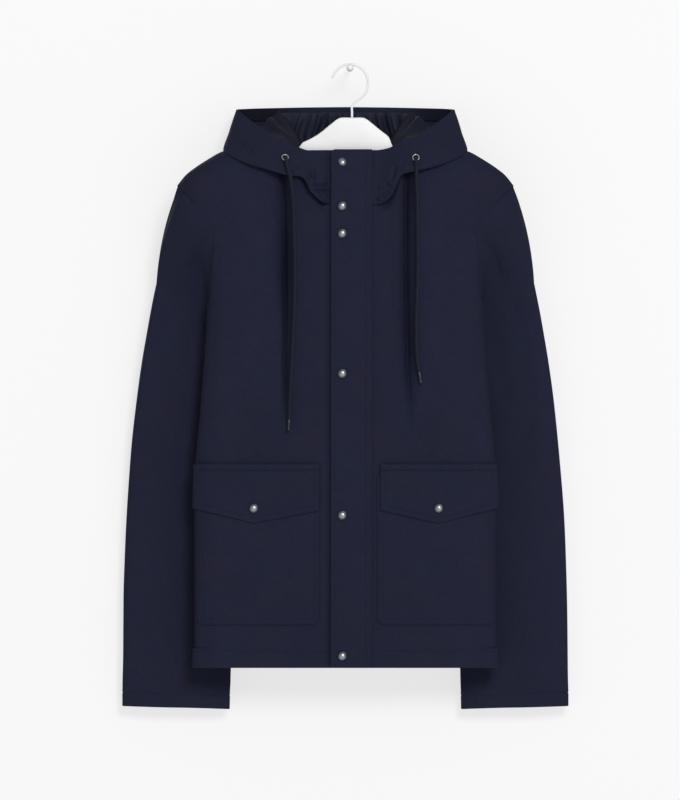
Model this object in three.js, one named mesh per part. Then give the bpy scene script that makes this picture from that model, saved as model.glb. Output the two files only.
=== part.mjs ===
// A hooded nylon jacket on a clothes hanger, hung from a wall peg.
// Millimetres, +Z up. The front faces -Y and the wall is the plane y = 0. The origin is the middle of
// the peg's wall face. Each side of the jacket is worked out at x >= 0 from the jacket's own middle
// plane, where y and z are already the part's, and is mirrored into place.

import * as THREE from 'three';

// ---------------------------------------------------------------- driving dimensions
const JACKET_X = -6; // the jacket's middle plane
const HANGER_X = 2.6; // the hanger's middle plane, a little off the jacket's
const MID_Y = -76; // the hanger's plane, through the middle of the body
const BODY_DEPTH = 60; // from the front's outer face to the back's
const FRONT_Y = MID_Y - BODY_DEPTH / 2;
const BACK_Y = MID_Y + BODY_DEPTH / 2;
const SIDE_TURN = 34; // width over which the cloth turns in to the side
const SHOULDER_TURN = 45; // height over which it turns in to the shoulder's ridge
const CROWN = 6; // how far the front falls back at 200 mm from the middle
const WALL = 2; // shell cloth with its backing
const THIN = 1.2; // a single layer of lining or facing
const TURNED = 2.8; // turned-up cloth
const GAP = 0.3; // between pieces that are sewn or that rest on each other
const CURVED_GAP = 1; // at seams whose edges both curve

const HEM_Z = -779;
const HEM_LINE_Z = -756; // top of the turned hem
const HEM_SPREAD = 2.6; // the hem stands out this much at the sides
const CUFF_LINE_Z = -810; // top of the cuff's turned hem, at the outer side
const CUFF_Z = -829.5; // bottom of the cuff at its outer side
const CUFF_FALL = 4; // and this much lower at its inner side
const SEAM_DROP = 8; // the shoulder seam lies this far in front of the ridge
const NECK_SIDE_X = 75; // where the neckline meets the shoulder seam
const NECK_BACK_X = 64; // where it reaches the back's own neckline
const BACK_NECK_TURN = 35; // degrees behind the ridge at the back's neckline

const PLACKET_LEFT_X = -18.7; // its free edge, on the wearer's right
const PLACKET_RIGHT_X = 34; // its sewn edge
const UNDERLAP_X = -18; // how far the under side reaches past the middle
const UNDERLAP_SINK = 3.2; // the under side lies this much deeper

const SNAP_RADIUS = 6.3;
const SNAP_X = -4;
const SNAP_ZS = [-124, -180.5, -216, -398, -582, -765];
const EYELET_OUTER = 5;
const EYELET_HOLE = 3.1;
const CORD_RADIUS = 2.5;
const TIP_LENGTH = 15;

// Names the columns of a short table.
const table = (columns, rows) =>
  rows.map((row) => Object.fromEntries(columns.split(' ').map((name, i) => [name, row[i]])));

// The side edge of the front, from the hem up: the side seam to z = -300, then the front armhole.
const FRONT_EDGE = table('z x y', [
  [-779, 196.3, -76.4],
  [-623, 196.3, -76.4],
  [-565, 196.5, -76.4],
  [-515, 195, -76.4],
  [-448, 189, -76.4],
  [-344, 181, -76.4],
  [-300, 177.5, -77],
  [-265, 175, -84],
  [-240, 173, -91],
  [-223, 171.8, -96],
  [-212, 171.5, -99],
  [-203, 176.4, -101],
  [-192, 184.2, -101],
  [-179, 194.6, -99],
  [-164, 208.9, -91],
  [-155, 218, -78],
]);

// The side edge of the back: the same side seam, then the back armhole.
const BACK_EDGE = table('z x y', [
  [-779, 196.3, -75.6],
  [-623, 196.3, -75.6],
  [-565, 196.5, -75.6],
  [-515, 195, -75.6],
  [-448, 189, -75.6],
  [-344, 181, -75.6],
  [-300, 177.5, -75],
  [-292, 168, -61],
  [-282, 157, -51],
  [-268, 148, -47],
  [-250, 143, -46],
  [-230, 142, -46],
  [-210, 147, -46],
  [-193, 160, -47],
  [-176, 180, -51],
  [-162, 204, -61],
  [-155, 218, -74],
]);

// The ridge of the shoulder, from the neck out.
const RIDGE = table('x z', [
  [0, -95.5],
  [75, -96],
  [102, -99.5],
  [131, -103.5],
  [150, -107],
  [162, -110],
  [179, -119.6],
  [195, -130],
  [208, -140.4],
  [218, -153],
]);

// The front's neckline, from the middle to the shoulder seam.
const NECKLINE = table('x z', [
  [0, -184],
  [35, -184],
  [45, -175.5],
  [53, -163],
  [58, -150],
  [64, -136],
  [70, -118],
  [75, -104],
]);

// The armhole, once round from the shoulder's corner: which edge it lies on, the angle of the sleeve's
// section that it runs down to (0 outer, 90 front, 180 inner, 270 back) and the way the sleeve leaves it.
const ARMHOLE = table('edge z angle outX outY outZ', [
  ['front', -155, 0, 0.35, 0, -0.94],
  ['front', -164, 22, 0.5, -0.1, -0.85],
  ['front', -179, 45, 0.6, 0, -0.8],
  ['front', -192, 58, 0.7, 0.05, -0.7],
  ['front', -203, 68, 0.8, 0.15, -0.6],
  ['front', -212, 76, 0.8, 0.3, -0.5],
  ['front', -223, 82, 0.8, 0.5, -0.35],
  ['front', -240, 88, 0.7, 0.65, -0.3],
  ['front', -265, 95, 0.5, 0.8, -0.3],
  ['front', -298, 105, 0.2, 0.9, -0.35],
  ['back', -292, 125, 0, 0.85, -0.5],
  ['back', -282, 145, -0.1, 0.8, -0.6],
  ['back', -268, 165, -0.15, 0.8, -0.55],
  ['back', -250, 185, -0.2, 0.9, -0.3],
  ['back', -230, 210, -0.1, 0.95, -0.2],
  ['back', -210, 240, 0.1, 0.95, -0.2],
  ['back', -193, 275, 0.4, 0.8, -0.4],
  ['back', -176, 310, 0.6, 0.6, -0.5],
  ['back', -162, 340, 0.6, 0.3, -0.75],
]);

// Level sections of the sleeve, from the cuff up: outer and inner edge, half depth, and how far the
// outer edge stands in front of the section's middle.
const SLEEVE = table('z outer inner half lead', [
  [-834, 290.6, 150.5, 9.5, 0],
  [-779, 290, 149.5, 11, 0],
  [-680, 288.6, 146, 13, 0],
  [-596, 285.4, 141, 14.5, 1],
  [-512, 279.5, 134, 16, 4],
  [-440, 272.4, 128, 17, 8],
  [-392, 265.9, 124, 18, 10],
  [-344, 258.1, 122, 19, 12],
  [-296, 249, 122, 19, 14],
  [-248, 238.6, 124, 19, 16],
]);
const SLEEVE_Y = -24; // the middle of the sleeve's depth
const SLEEVE_FULLNESS = 0.75; // 1 is an ellipse, less is fuller

const HOOD_SHOULDER = 6; // the row of HOOD at which the neck seam passes from the front to the back
// The hood, from the middle of the front round to the middle of the back: x at its neck seam, the
// cloth just past it, the lowest fold of the bag, the edge of the hood's opening, and how far the cloth
// swells between these two.
const HOOD = table('seamX overX overY overZ foldX foldY foldZ edgeX edgeY edgeZ belly', [
  [-18, -18, -106.8, -166, -18, -106.6, -146, -18, -92, -108, 0],
  [37, 37, -106.8, -166, 37, -106.6, -146, 37, -92, -108, 0],
  [45, 46, -108.5, -164, 46, -112, -146, 44, -91.5, -108, 2],
  [52, 54, -109, -157, 55, -114, -146, 51, -91, -106.8, 5],
  [62, 68, -107.4, -143, 71, -116, -141, 62, -92, -103.5, 8],
  [70, 79.5, -104.8, -126.5, 87, -116, -137, 75, -92.5, -98, 10],
  [75, 92, -102, -116, 104, -115, -132, 94, -87, -88.4, 11],
  [73, 110, -89.5, -101.5, 131, -106, -123, 116, -69, -73.3, 9],
  [70, 112, -80, -93.5, 158, -87, -106, 139, -48, -57, 7],
  [67, 112, -64, -93.5, 159, -60, -107, 141, -30, -54.6, 6],
  [64, 100, -47, -96, 148, -34, -150, 132, -15, -54, 5],
  [50, 72, -45, -97, 114, -28, -208, 100, -11, -53, 5],
  [25, 38, -44, -97, 64, -27, -250, 52, -10, -52, 2],
  [0, 0, -44, -97, 0, -27, -268, 0, -10, -51.5, 0],
]);
const HOOD_SEAM_AT = 11.6; // rows along HOOD where the side panel meets the centre panel
const FACING_WIDTH = 16;
const FACING_FROM = 7; // the row along HOOD where the facing starts
const LINING_FROM_EDGE = 7; // the satin starts this far inside the edge
const LINING_TO_EDGE = 84; // and is left off past here, where nothing shows it

// The charcoal side lining: its inner edge, which shows, and the edge kept behind the hood's side.
const SIDE_LINING = table('innerX innerY innerZ outerX outerY outerZ', [
  [86, -20, -58, 112, -49, -76],
  [76, -26, -68, 104, -55, -84],
  [67, -38, -81, 95, -60, -88],
  [60, -52, -92, 80, -64, -88.5],
  [55, -64.5, -104, 61, -66, -98.5],
]);

const POCKETS = table('name side inner outer flapInner flapOuter snapX', [
  ['right', -1, 34, 191.5, 34.7, 194, 119],
  ['left', 1, 41.5, 192, 45.9, 194.3, 121.3],
]);
const POCKET_TOP_Z = -532;
const POCKET_FOOT_Z = -723.5;
const POCKET_CORNER = 9; // radius of its lower corners
const FLAP_TOP_Z = -516.5;
const FLAP_INNER_Z = -575.6; // its lower edge at each end
const FLAP_OUTER_Z = -572.4;
const FLAP_POINT_Z = -592;
const FLAP_SNAP_Z = -573;
const FLAP_LIFT = WALL + 2 * GAP; // over the pocket

// The cords, from eyelet to tip, as x and y from the jacket's middle plane and z. Each hangs off the
// fold of the hood, clear of the front.
const EYELETS = table('name side x z', [
  ['right', -1, 78.3, -116.2],
  ['left', 1, 91.4, -116.3],
]);
const CORD_RIGHT = table('x y z', [
  [-75, -121.1, -130],
  [-71.5, -122.1, -143],
  [-69, -121.1, -158],
  [-67.2, -119.6, -180],
  [-66.2, -118.6, -219],
  [-65.6, -117.6, -246],
  [-65.4, -116.8, -272],
  [-65.9, -116, -302],
  [-67, -115.2, -333],
  [-68.4, -114.4, -364],
  [-69.9, -113.8, -394],
  [-71.4, -113.2, -424],
  [-73, -112.6, -456.5],
]);
const CORD_LEFT = table('x y z', [
  [92.3, -119.1, -129],
  [92.6, -120.1, -142],
  [93, -119.6, -156],
  [93.7, -118.6, -182],
  [93.9, -118.1, -200],
  [94, -117.6, -219],
  [94.1, -116.6, -246],
  [94, -115.8, -276],
  [93, -115, -306],
  [92.2, -114.2, -336],
  [92.4, -113.6, -362],
  [94, -113, -384],
  [95.7, -112.6, -395],
]);

const WIRE_RADIUS = 1.5;
const HOOK_RADIUS = 23.4;
const PEG_RADIUS = 2.2;
const KNOB_RADIUS = 4.5;
const KNOB_Y = -87; // the knob's front
const HANGER_THICKNESS = 12;
const HANGER_REACH = 188; // half its span
const HANGER_EDGE = 2; // its rounded edge
// The hanger's top line from its middle out, and its lower line back.
const HANGER_TOP = table('x z', [
  [14.3, -65.4],
  [19.5, -67.6],
  [44.5, -87.3],
  [65.5, -98],
  [90, -105],
  [130, -113.5],
  [160, -121],
  [176, -128],
]);
const HANGER_FOOT = table('x z', [
  [150, -141],
  [100, -131],
  [50, -127],
  [0, -126],
]);

// ---------------------------------------------------------------- numbers
const { clamp, degToRad, lerp, mapLinear, smoothstep } = THREE.MathUtils;

// A smooth function through two columns of a table whose key column rises.
function through(rows, key, value) {
  const last = rows.length - 1;
  const slopes = rows.map((row, i) => {
    const before = rows[Math.max(i - 1, 0)];
    const after = rows[Math.min(i + 1, last)];
    return (after[value] - before[value]) / (after[key] - before[key]);
  });
  return (at) => {
    const held = clamp(at, rows[0][key], rows[last][key]);
    const i = clamp(rows.findIndex((row) => row[key] > held) - 1, 0, last - 1);
    const from = held >= rows[last][key] ? last - 1 : i;
    const span = rows[from + 1][key] - rows[from][key];
    const t = (held - rows[from][key]) / span;
    return hermite(
      rows[from][value],
      slopes[from] * span,
      rows[from + 1][value],
      slopes[from + 1] * span,
      t,
    );
  };
}

function hermite(start, startSlope, end, endSlope, t) {
  const t2 = t * t;
  const t3 = t2 * t;
  return (
    start * (2 * t3 - 3 * t2 + 1) +
    startSlope * (t3 - 2 * t2 + t) +
    end * (3 * t2 - 2 * t3) +
    endSlope * (t3 - t2)
  );
}

// How far a face has turned in, from 1 on its rim to 0 one turn's width inside.
const turnIn = (share) => 1 - Math.sqrt(1 - (1 - clamp(share, 0, 1)) ** 2);
const steps = (from, to, count) =>
  Array.from({ length: count + 1 }, (_, i) => lerp(from, to, i / count));

const frontEdgeX = through(FRONT_EDGE, 'z', 'x');
const frontEdgeY = through(FRONT_EDGE, 'z', 'y');
const backEdgeX = through(BACK_EDGE, 'z', 'x');
const backEdgeY = through(BACK_EDGE, 'z', 'y');
const ridgeZ = through(RIDGE, 'x', 'z');
const neckZ = through(NECKLINE, 'x', 'z');

// ---------------------------------------------------------------- solids
const group = new THREE.Group();
const finishes = {
  shell: { color: 0x202336, roughness: 0.85 },
  satin: { color: 0x252a45, roughness: 0.4 },
  charcoal: { color: 0x3a3c44, roughness: 0.6 },
  cord: { color: 0x1c1f2e, roughness: 0.8 },
  snap: { color: 0x6d6f74, roughness: 0.35, metalness: 1 },
  eyelet: { color: 0xc4c6c9, roughness: 0.25, metalness: 1 },
  tip: { color: 0x9a9ca2, roughness: 0.3, metalness: 1 },
  hanger: { color: 0xf1f1f0, roughness: 0.4 },
  wire: { color: 0xe4e4e4, roughness: 0.35, metalness: 0.1 },
};

function add(name, finish, geometry) {
  const mesh = new THREE.Mesh(geometry, new THREE.MeshStandardMaterial(finishes[finish]));
  mesh.name = name;
  group.add(mesh);
  return mesh;
}

// The direction at a point of the parabola through it and two others. near and far lead from it to
// them, and nearAt and farAt are how far along they lie.
function alongParabola(near, nearAt, far, farAt) {
  const slope = near.clone().multiplyScalar(farAt / nearAt).addScaledVector(far, -nearAt / farAt);
  return slope.divideScalar(farAt - nearAt).normalize();
}

// The direction of a line of points at one of them, forwards.
function directionAt(line, i, round) {
  const count = line.length;
  const to = (j) => line[(j + count) % count].clone().sub(line[i]);
  if (round || (i > 0 && i < count - 1)) {
    const [after, before] = [to(i + 1), to(i - 1)];
    return alongParabola(after, after.length(), before, -before.length());
  }
  const inwards = i === 0 ? 1 : -1;
  const next = to(i + inwards);
  if (count === 2) return next.multiplyScalar(inwards).normalize();
  const third = to(i + 2 * inwards);
  const nextAt = next.length();
  const thirdAt = nextAt + line[i + inwards].distanceTo(line[i + 2 * inwards]);
  return alongParabola(next, nextAt, third, thirdAt).multiplyScalar(inwards);
}

// The unit normal of a grid of points at one of them.
function gridNormal(grid, r, c, round) {
  const alongRow = directionAt(grid[r], c, round);
  const column = grid.map((row) => row[c]);
  return alongRow.cross(directionAt(column, r, false)).normalize();
}

// A closed wall on a grid of points. lift moves its outer face off the grid, along the normals, and
// wall is its thickness. round joins each row's end to its start, side = -1 mirrors the wall, and
// turned says that the rows run so that the normals point inwards.
function wallOn(grid, { wall = WALL, lift = 0, round = false, side = 1, turned = false }) {
  const rows = grid.length;
  const wide = grid[0].length;
  const way = turned ? -1 : 1;
  const points = [];
  for (const depth of [lift, lift - wall]) {
    for (let r = 0; r < rows; r++) {
      for (let c = 0; c < wide; c++) {
        const normal = gridNormal(grid, r, c, round);
        const point = grid[r][c].clone().addScaledVector(normal, way * depth);
        points.push(JACKET_X + side * point.x, point.y, point.z);
      }
    }
  }
  const faces = [];
  const inner = rows * wide;
  const at = (r, c) => r * wide + (c % wide);
  const quad = (a, b, c, d) => faces.push([a, b, c], [a, c, d]);
  const last = round ? wide : wide - 1;
  for (let r = 0; r < rows - 1; r++) {
    for (let c = 0; c < last; c++) {
      const corners = [at(r, c), at(r, c + 1), at(r + 1, c + 1), at(r + 1, c)];
      quad(...corners);
      quad(...corners.map((i) => i + inner).reverse());
    }
  }
  const rim = (a, b) => quad(b, a, a + inner, b + inner);
  for (let c = 0; c < last; c++) {
    rim(at(0, c), at(0, c + 1));
    rim(at(rows - 1, c + 1), at(rows - 1, c));
  }
  for (let r = 0; !round && r < rows - 1; r++) {
    rim(at(r + 1, 0), at(r, 0));
    rim(at(r, wide - 1), at(r + 1, wide - 1));
  }
  const mirrored = side * way < 0;
  const geometry = new THREE.BufferGeometry();
  geometry.setAttribute('position', new THREE.Float32BufferAttribute(points, 3));
  geometry.setIndex(faces.flatMap(([a, b, c]) => (mirrored ? [c, b, a] : [a, b, c])));
  geometry.computeVertexNormals();
  return geometry;
}

const gridOf = (rows, columns, point) => rows.map((v) => columns.map((u) => point(u, v)));

// ---------------------------------------------------------------- body
// The wearer's sides: the way each is mirrored, and whether its front lies under the other.
const SIDES = [
  ['left', 1, false],
  ['right', -1, true],
];

// A panel's column u is x itself as far as INNER_X. From there it grows evenly to TURN_U, where the
// turn at the side starts, and to EDGE_U at the panel's edge.
const INNER_X = 100;
const TURN_U = 120;
const EDGE_U = 180;
const outerColumns = [109, 115, TURN_U, 140, 160, EDGE_U];

// Where u lies on a panel that ends at edgeX, and the angle turned through there.
function across(u, edgeX) {
  const flatEnd = edgeX - SIDE_TURN;
  if (u <= INNER_X) return { x: u, angle: 0 };
  if (u <= TURN_U) return { x: mapLinear(u, INNER_X, TURN_U, INNER_X, flatEnd), angle: 0 };
  const angle = mapLinear(u, TURN_U, EDGE_U, 0, Math.PI / 2);
  return { x: flatEnd + SIDE_TURN * Math.sin(angle), angle };
}

function acrossAt(x, edgeX) {
  const flatEnd = edgeX - SIDE_TURN;
  if (x <= INNER_X) return x;
  if (x <= flatEnd) return mapLinear(x, INNER_X, flatEnd, INNER_X, TURN_U);
  const angle = Math.asin(Math.min((x - flatEnd) / SIDE_TURN, 1));
  return mapLinear(angle, 0, Math.PI / 2, TURN_U, EDGE_U);
}

// The under side of the front lies deeper where the other side laps over it.
const LAP_X = 21;
const LEVEL_X = 28;
const sink = (x) => UNDERLAP_SINK * (1 - smoothstep(x, LAP_X, LEVEL_X));

function frontY(x, z, angle) {
  const drop = ridgeZ(Math.abs(x)) - z;
  const crown = CROWN * (x / 200) ** 2 * smoothstep(drop, 0, 1.5 * SHOULDER_TURN);
  const face = FRONT_Y + crown + (BODY_DEPTH / 2) * turnIn(drop / SHOULDER_TURN);
  return lerp(face, frontEdgeY(z), 1 - Math.cos(angle));
}

function frontPoint(u, z, { under = false, spread = 0 }) {
  const { x, angle } = across(u, frontEdgeX(z) + spread);
  return new THREE.Vector3(x, frontY(x, z, angle) + (under ? sink(x) : 0), z);
}

// The shoulder seam's depth below the ridge, which it reaches at the shoulder's corner.
const CORNER_X = 218;
const SEAM_TURN = Math.acos(1 - SEAM_DROP / SHOULDER_TURN);
const ridgeWidth = (x) => clamp((CORNER_X - x) / 40, 0.06, 1);
const seamDrop = (x) => SEAM_DROP * ridgeWidth(x);

// The front's top line: the neckline, then the shoulder seam.
const frontTopZ = (x) => (x < NECK_SIDE_X ? neckZ(Math.abs(x)) : ridgeZ(x) - seamDrop(x));
const frontTopGap = (x) => lerp(GAP, CURVED_GAP, smoothstep(x, 185, 205));

function frontTopAt(u) {
  let z = -155;
  for (let i = 0; i < 20; i++) {
    const { x } = across(u, frontEdgeX(z));
    z = lerp(z, frontTopZ(x) - frontTopGap(x), 0.5);
  }
  return z;
}

const FRONT_ROWS = [0, 0.15, 0.3, 0.45, 0.58, 0.69, 0.77, 0.83, 0.87, 0.91, 0.94, 0.97, 1];
const neckColumns = [38, 42, 47, 52, 57, 62, 66, 70, NECK_SIDE_X, 86, INNER_X];
const placketColumns = {
  left: [PLACKET_LEFT_X, LAP_X, LEVEL_X],
  right: [UNDERLAP_X, LAP_X, LEVEL_X],
};

function addFront(name, side, under) {
  const columns = [...placketColumns[name], ...neckColumns, ...outerColumns];
  const top = new Map(columns.map((u) => [u, frontTopAt(u)]));
  const point = (u, v) => frontPoint(u, lerp(HEM_LINE_Z + GAP, top.get(u), v), { under });
  add(`front_${name}`, 'shell', wallOn(gridOf(FRONT_ROWS, columns, point), { side }));
}

// The back by columns from -1 to 1 and a height, or past the shoulder's turn by an angle over the ridge.
function backPoint(u, z, spread = 0) {
  const { x, angle } = across(Math.abs(u), backEdgeX(z) + spread);
  const shoulder = turnIn((ridgeZ(x) - z) / SHOULDER_TURN);
  const face = BACK_Y - (BODY_DEPTH / 2) * shoulder;
  const y = lerp(face, backEdgeY(z), 1 - Math.cos(angle));
  return new THREE.Vector3(Math.sign(u) * x, y, z);
}

const RIDGE_TURNS = [0.55, 0.8, 0.95, 1]; // shares of the way over the ridge

// The angle past the ridge, from 90 at the back to below 0 in front, at which the back ends.
function backEndTurn(x) {
  const neck = degToRad(BACK_NECK_TURN);
  if (x <= NECK_BACK_X) return neck;
  if (x >= NECK_SIDE_X) return -SEAM_TURN;
  return lerp(neck, -SEAM_TURN, (x - NECK_BACK_X) / (NECK_SIDE_X - NECK_BACK_X));
}

function overRidge(u, share) {
  const topX = across(Math.abs(u), CORNER_X).x;
  const width = ridgeWidth(topX);
  const turn = lerp(Math.PI / 2, backEndTurn(topX), share);
  const z = ridgeZ(topX) - SHOULDER_TURN * (1 - Math.cos(turn)) * width;
  const { x, angle } = across(Math.abs(u), backEdgeX(z));
  const y = turn > 0 ? MID_Y + (BODY_DEPTH / 2) * Math.sin(turn) * width : frontY(x, z, angle);
  return new THREE.Vector3(Math.sign(u) * x, y, z);
}

const bothSides = (columns) => [...columns.slice(1).map((u) => -u).reverse(), ...columns];
const backNeck = [0, 25, 50, NECK_BACK_X, 67, 70, 73, NECK_SIDE_X, 86];
const backColumns = bothSides([...backNeck, INNER_X, ...outerColumns]);
const BACK_ROWS = [0, 0.15, 0.3, 0.45, 0.58, 0.68, 0.74, 0.79, 0.83, 0.88, 0.94, 1];

function addBack() {
  const flatTop = (u) => overRidge(u, 0).z;
  const low = gridOf(BACK_ROWS, backColumns, (u, v) =>
    backPoint(u, lerp(HEM_LINE_Z + GAP, flatTop(u), v)),
  );
  const over = gridOf(RIDGE_TURNS, backColumns, overRidge);
  add('back', 'shell', wallOn([...low, ...over], { turned: true }));
}

function addHems() {
  const rows = [HEM_Z, HEM_LINE_Z];
  for (const [name, side, under] of SIDES) {
    const columns = [...placketColumns[name], 60, INNER_X, ...outerColumns];
    const grid = gridOf(rows, columns, (u, z) => frontPoint(u, z, { under, spread: HEM_SPREAD }));
    add(`hem_front_${name}`, 'shell', wallOn(grid, { side, wall: TURNED }));
  }
  const columns = bothSides([0, 50, INNER_X, ...outerColumns]);
  const grid = gridOf(rows, columns, (u, z) => backPoint(u, z, HEM_SPREAD));
  add('hem_back', 'shell', wallOn(grid, { turned: true, wall: TURNED }));
}

// ---------------------------------------------------------------- sleeves
const sleeveOuter = through(SLEEVE, 'z', 'outer');
const sleeveInner = through(SLEEVE, 'z', 'inner');
const sleeveHalf = through(SLEEVE, 'z', 'half');
const sleeveLead = through(SLEEVE, 'z', 'lead');
const fuller = (value) => Math.sign(value) * Math.abs(value) ** SLEEVE_FULLNESS;

function sleeveSection(angle, z) {
  const outward = Math.cos(angle);
  const x = lerp(sleeveInner(z), sleeveOuter(z), (1 + fuller(outward)) / 2);
  const y = SLEEVE_Y - sleeveLead(z) * outward - sleeveHalf(z) * fuller(Math.sin(angle));
  return new THREE.Vector3(x, y, z);
}

const ARMHOLE_GAP = 1.4; // the sleeve's edge clears the armhole's bends
const capFootZ = (angle) => -340 + 60 * Math.cos(angle);
const cuffFootZ = (angle, atOuter) => atOuter - (CUFF_FALL / 2) * (1 - Math.cos(angle));

function capPoint(hole, t) {
  const angle = degToRad(hole.angle);
  const [edgeX, edgeY] = hole.edge === 'front' ? [frontEdgeX, frontEdgeY] : [backEdgeX, backEdgeY];
  const leave = new THREE.Vector3(hole.outX, hole.outY, hole.outZ).normalize();
  const start = new THREE.Vector3(edgeX(hole.z), edgeY(hole.z), hole.z).addScaledVector(leave, ARMHOLE_GAP);
  const end = sleeveSection(angle, capFootZ(angle));
  const reach = start.distanceTo(end);
  const arrive = new THREE.Vector3(0.05, 0, -1);
  const along = (axis) =>
    hermite(start[axis], leave[axis] * reach, end[axis], arrive[axis] * reach, t);
  return new THREE.Vector3(along('x'), along('y'), along('z'));
}

const CAP_ROWS = [0, 0.12, 0.3, 0.5, 0.72];
const ARM_ROWS = [0, 0.2, 0.4, 0.6, 0.8, 1];

function addSleeve(name, side) {
  const cap = gridOf(CAP_ROWS, ARMHOLE, capPoint);
  const armPoint = (hole, v) => {
    const angle = degToRad(hole.angle);
    const foot = cuffFootZ(angle, CUFF_LINE_Z + GAP);
    return sleeveSection(angle, lerp(capFootZ(angle), foot, v));
  };
  const arm = gridOf(ARM_ROWS, ARMHOLE, armPoint);
  add(`sleeve_${name}`, 'shell', wallOn([...cap, ...arm], { side, round: true }));
  const cuff = gridOf([CUFF_LINE_Z, CUFF_Z], ARMHOLE, (hole, atOuter) => {
    const angle = degToRad(hole.angle);
    return sleeveSection(angle, cuffFootZ(angle, atOuter));
  });
  add(`cuff_${name}`, 'shell', wallOn(cuff, { side, round: true, wall: TURNED }));
}

// ---------------------------------------------------------------- hood
const HOOD_LAST = HOOD.length - 1;
const hoodRows = HOOD.map((row, turn) => ({ ...row, turn }));
const hoodColumn = (name) => through(hoodRows, 'turn', name);
const hoodPart = (part) => ['X', 'Y', 'Z'].map((axis) => hoodColumn(part + axis));
const hoodParts = ['over', 'fold', 'edge'].map(hoodPart);
const seamX = hoodColumn('seamX');
const swell = hoodColumn('belly');

function neckSeam(turn) {
  const x = Math.min(seamX(turn), NECK_SIDE_X);
  const neckline = turn <= HOOD_SHOULDER ? frontPoint(x, frontTopZ(x), {}) : overRidge(x, 1);
  return neckline.add(new THREE.Vector3(0, -2 * GAP, 2 * GAP)); // the hood stands off it a little
}

// The hood's line from neck seam to opening edge, at a place along HOOD's rows.
function hoodLine(turn) {
  const held = turn > HOOD_LAST ? 2 * HOOD_LAST - turn : turn;
  const mirror = turn > HOOD_LAST ? -1 : 1;
  const seam = neckSeam(held);
  seam.x *= mirror;
  const [over, fold, edge] = hoodParts.map(
    ([x, y, z]) => new THREE.Vector3(mirror * x(held), y(held), z(held)),
  );
  const belly = fold.clone().lerp(edge, 0.5);
  const away = new THREE.Vector3(belly.x, belly.y - MID_Y / 2, 0).normalize();
  belly.addScaledVector(away, swell(held));
  const line = new THREE.CatmullRomCurve3([seam, over, fold, belly, edge], false, 'centripetal');
  line.arcLengthDivisions = 100;
  return line;
}

const HOOD_JOINT = 0.025; // half the gap of the hood's seams, in rows along HOOD
const SIDE_TURNS = [0.62, 0.98, 2, 2.5, 3, 3.5, 4, 4.5, 5, 6, 7, 8, 9, 10, 10.8, HOOD_SEAM_AT - HOOD_JOINT];
const CENTRE_HALF = HOOD_LAST - HOOD_SEAM_AT - HOOD_JOINT;
const CENTRE_TURNS = steps(HOOD_LAST - CENTRE_HALF, HOOD_LAST + CENTRE_HALF, 6);
const HOOD_ROWS = [0, 0.08, 0.17, 0.26, 0.35, 0.44, 0.53, 0.62, 0.74, 0.87, 1];

function hoodGrid(turns, rowsAt, under = false) {
  const columns = turns.map((turn) => {
    const line = hoodLine(turn);
    return rowsAt(line.getLength()).map((v) => {
      const point = line.getPointAt(clamp(v, 0, 1));
      if (under) point.y += sink(point.x);
      return point;
    });
  });
  return columns[0].map((_, r) => columns.map((column) => column[r]));
}

function addHood() {
  const rowsAt = (length) => HOOD_ROWS.map((v) => lerp(CURVED_GAP / length, 1, v));
  for (const [name, side, under] of SIDES) {
    const grid = hoodGrid([under ? 0.12 : 0, ...SIDE_TURNS], rowsAt, under);
    add(`hood_side_${name}`, 'shell', wallOn(grid, { side }));
  }
  add('hood_centre', 'shell', wallOn(hoodGrid(CENTRE_TURNS, rowsAt), {}));

  const facingSide = SIDE_TURNS.filter((turn) => turn >= FACING_FROM);
  const facingOther = facingSide.map((turn) => 2 * HOOD_LAST - turn).reverse();
  const facingRows = (length) => steps(1 - FACING_WIDTH / length, 1, 2);
  const facing = hoodGrid([...facingSide, ...CENTRE_TURNS, ...facingOther], facingRows);
  add('hood_facing', 'shell', wallOn(facing, { lift: -WALL - 2 * GAP, wall: THIN }));
}

function addLinings() {
  const rows = (length) => steps(1 - LINING_TO_EDGE / length, 1 - LINING_FROM_EDGE / length, 5);
  const satin = hoodGrid([11.3, ...CENTRE_TURNS, 2 * HOOD_LAST - 11.3], rows);
  const lift = -WALL - THIN - 4 * GAP;
  add('lining_centre', 'satin', wallOn(satin, { lift, wall: THIN }));
  for (const [name, side] of SIDES) {
    const grid = gridOf(SIDE_LINING, steps(0, 1, 5), (share, row) => {
      const inner = new THREE.Vector3(row.innerX, row.innerY, row.innerZ);
      const outer = new THREE.Vector3(row.outerX, row.outerY, row.outerZ);
      const rise = 5 * Math.sin(Math.PI * share); // it arches between its edges
      return inner.lerp(outer, share).add(new THREE.Vector3(-rise / 2, 0, rise / 2));
    });
    add(`lining_${name}`, 'charcoal', wallOn(grid, { side, wall: THIN }));
  }
}

// ---------------------------------------------------------------- placket, pockets and flaps
function addPlacket() {
  const columns = steps(PLACKET_LEFT_X, PLACKET_RIGHT_X, 3);
  const low = gridOf(steps(HEM_Z, NECKLINE[0].z, 8), columns, (x, z) => {
    const face = FRONT_Y + CROWN * (x / 200) ** 2;
    return new THREE.Vector3(x, face, z);
  });
  const stand = hoodLine(1);
  const high = gridOf(HOOD_ROWS.slice(1), columns, (x, v) => {
    const point = stand.getPointAt(v);
    return point.setX(x).setY(point.y + CROWN * (x / 200) ** 2 * (1 - v));
  });
  add('placket', 'shell', wallOn([...low, ...high], { lift: WALL + 2 * GAP }));
}

const POCKET_COLUMNS = [48, 62, 80, 98, 119, 135, 150, 164, 176, 184, 189]; // x that both share

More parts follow.
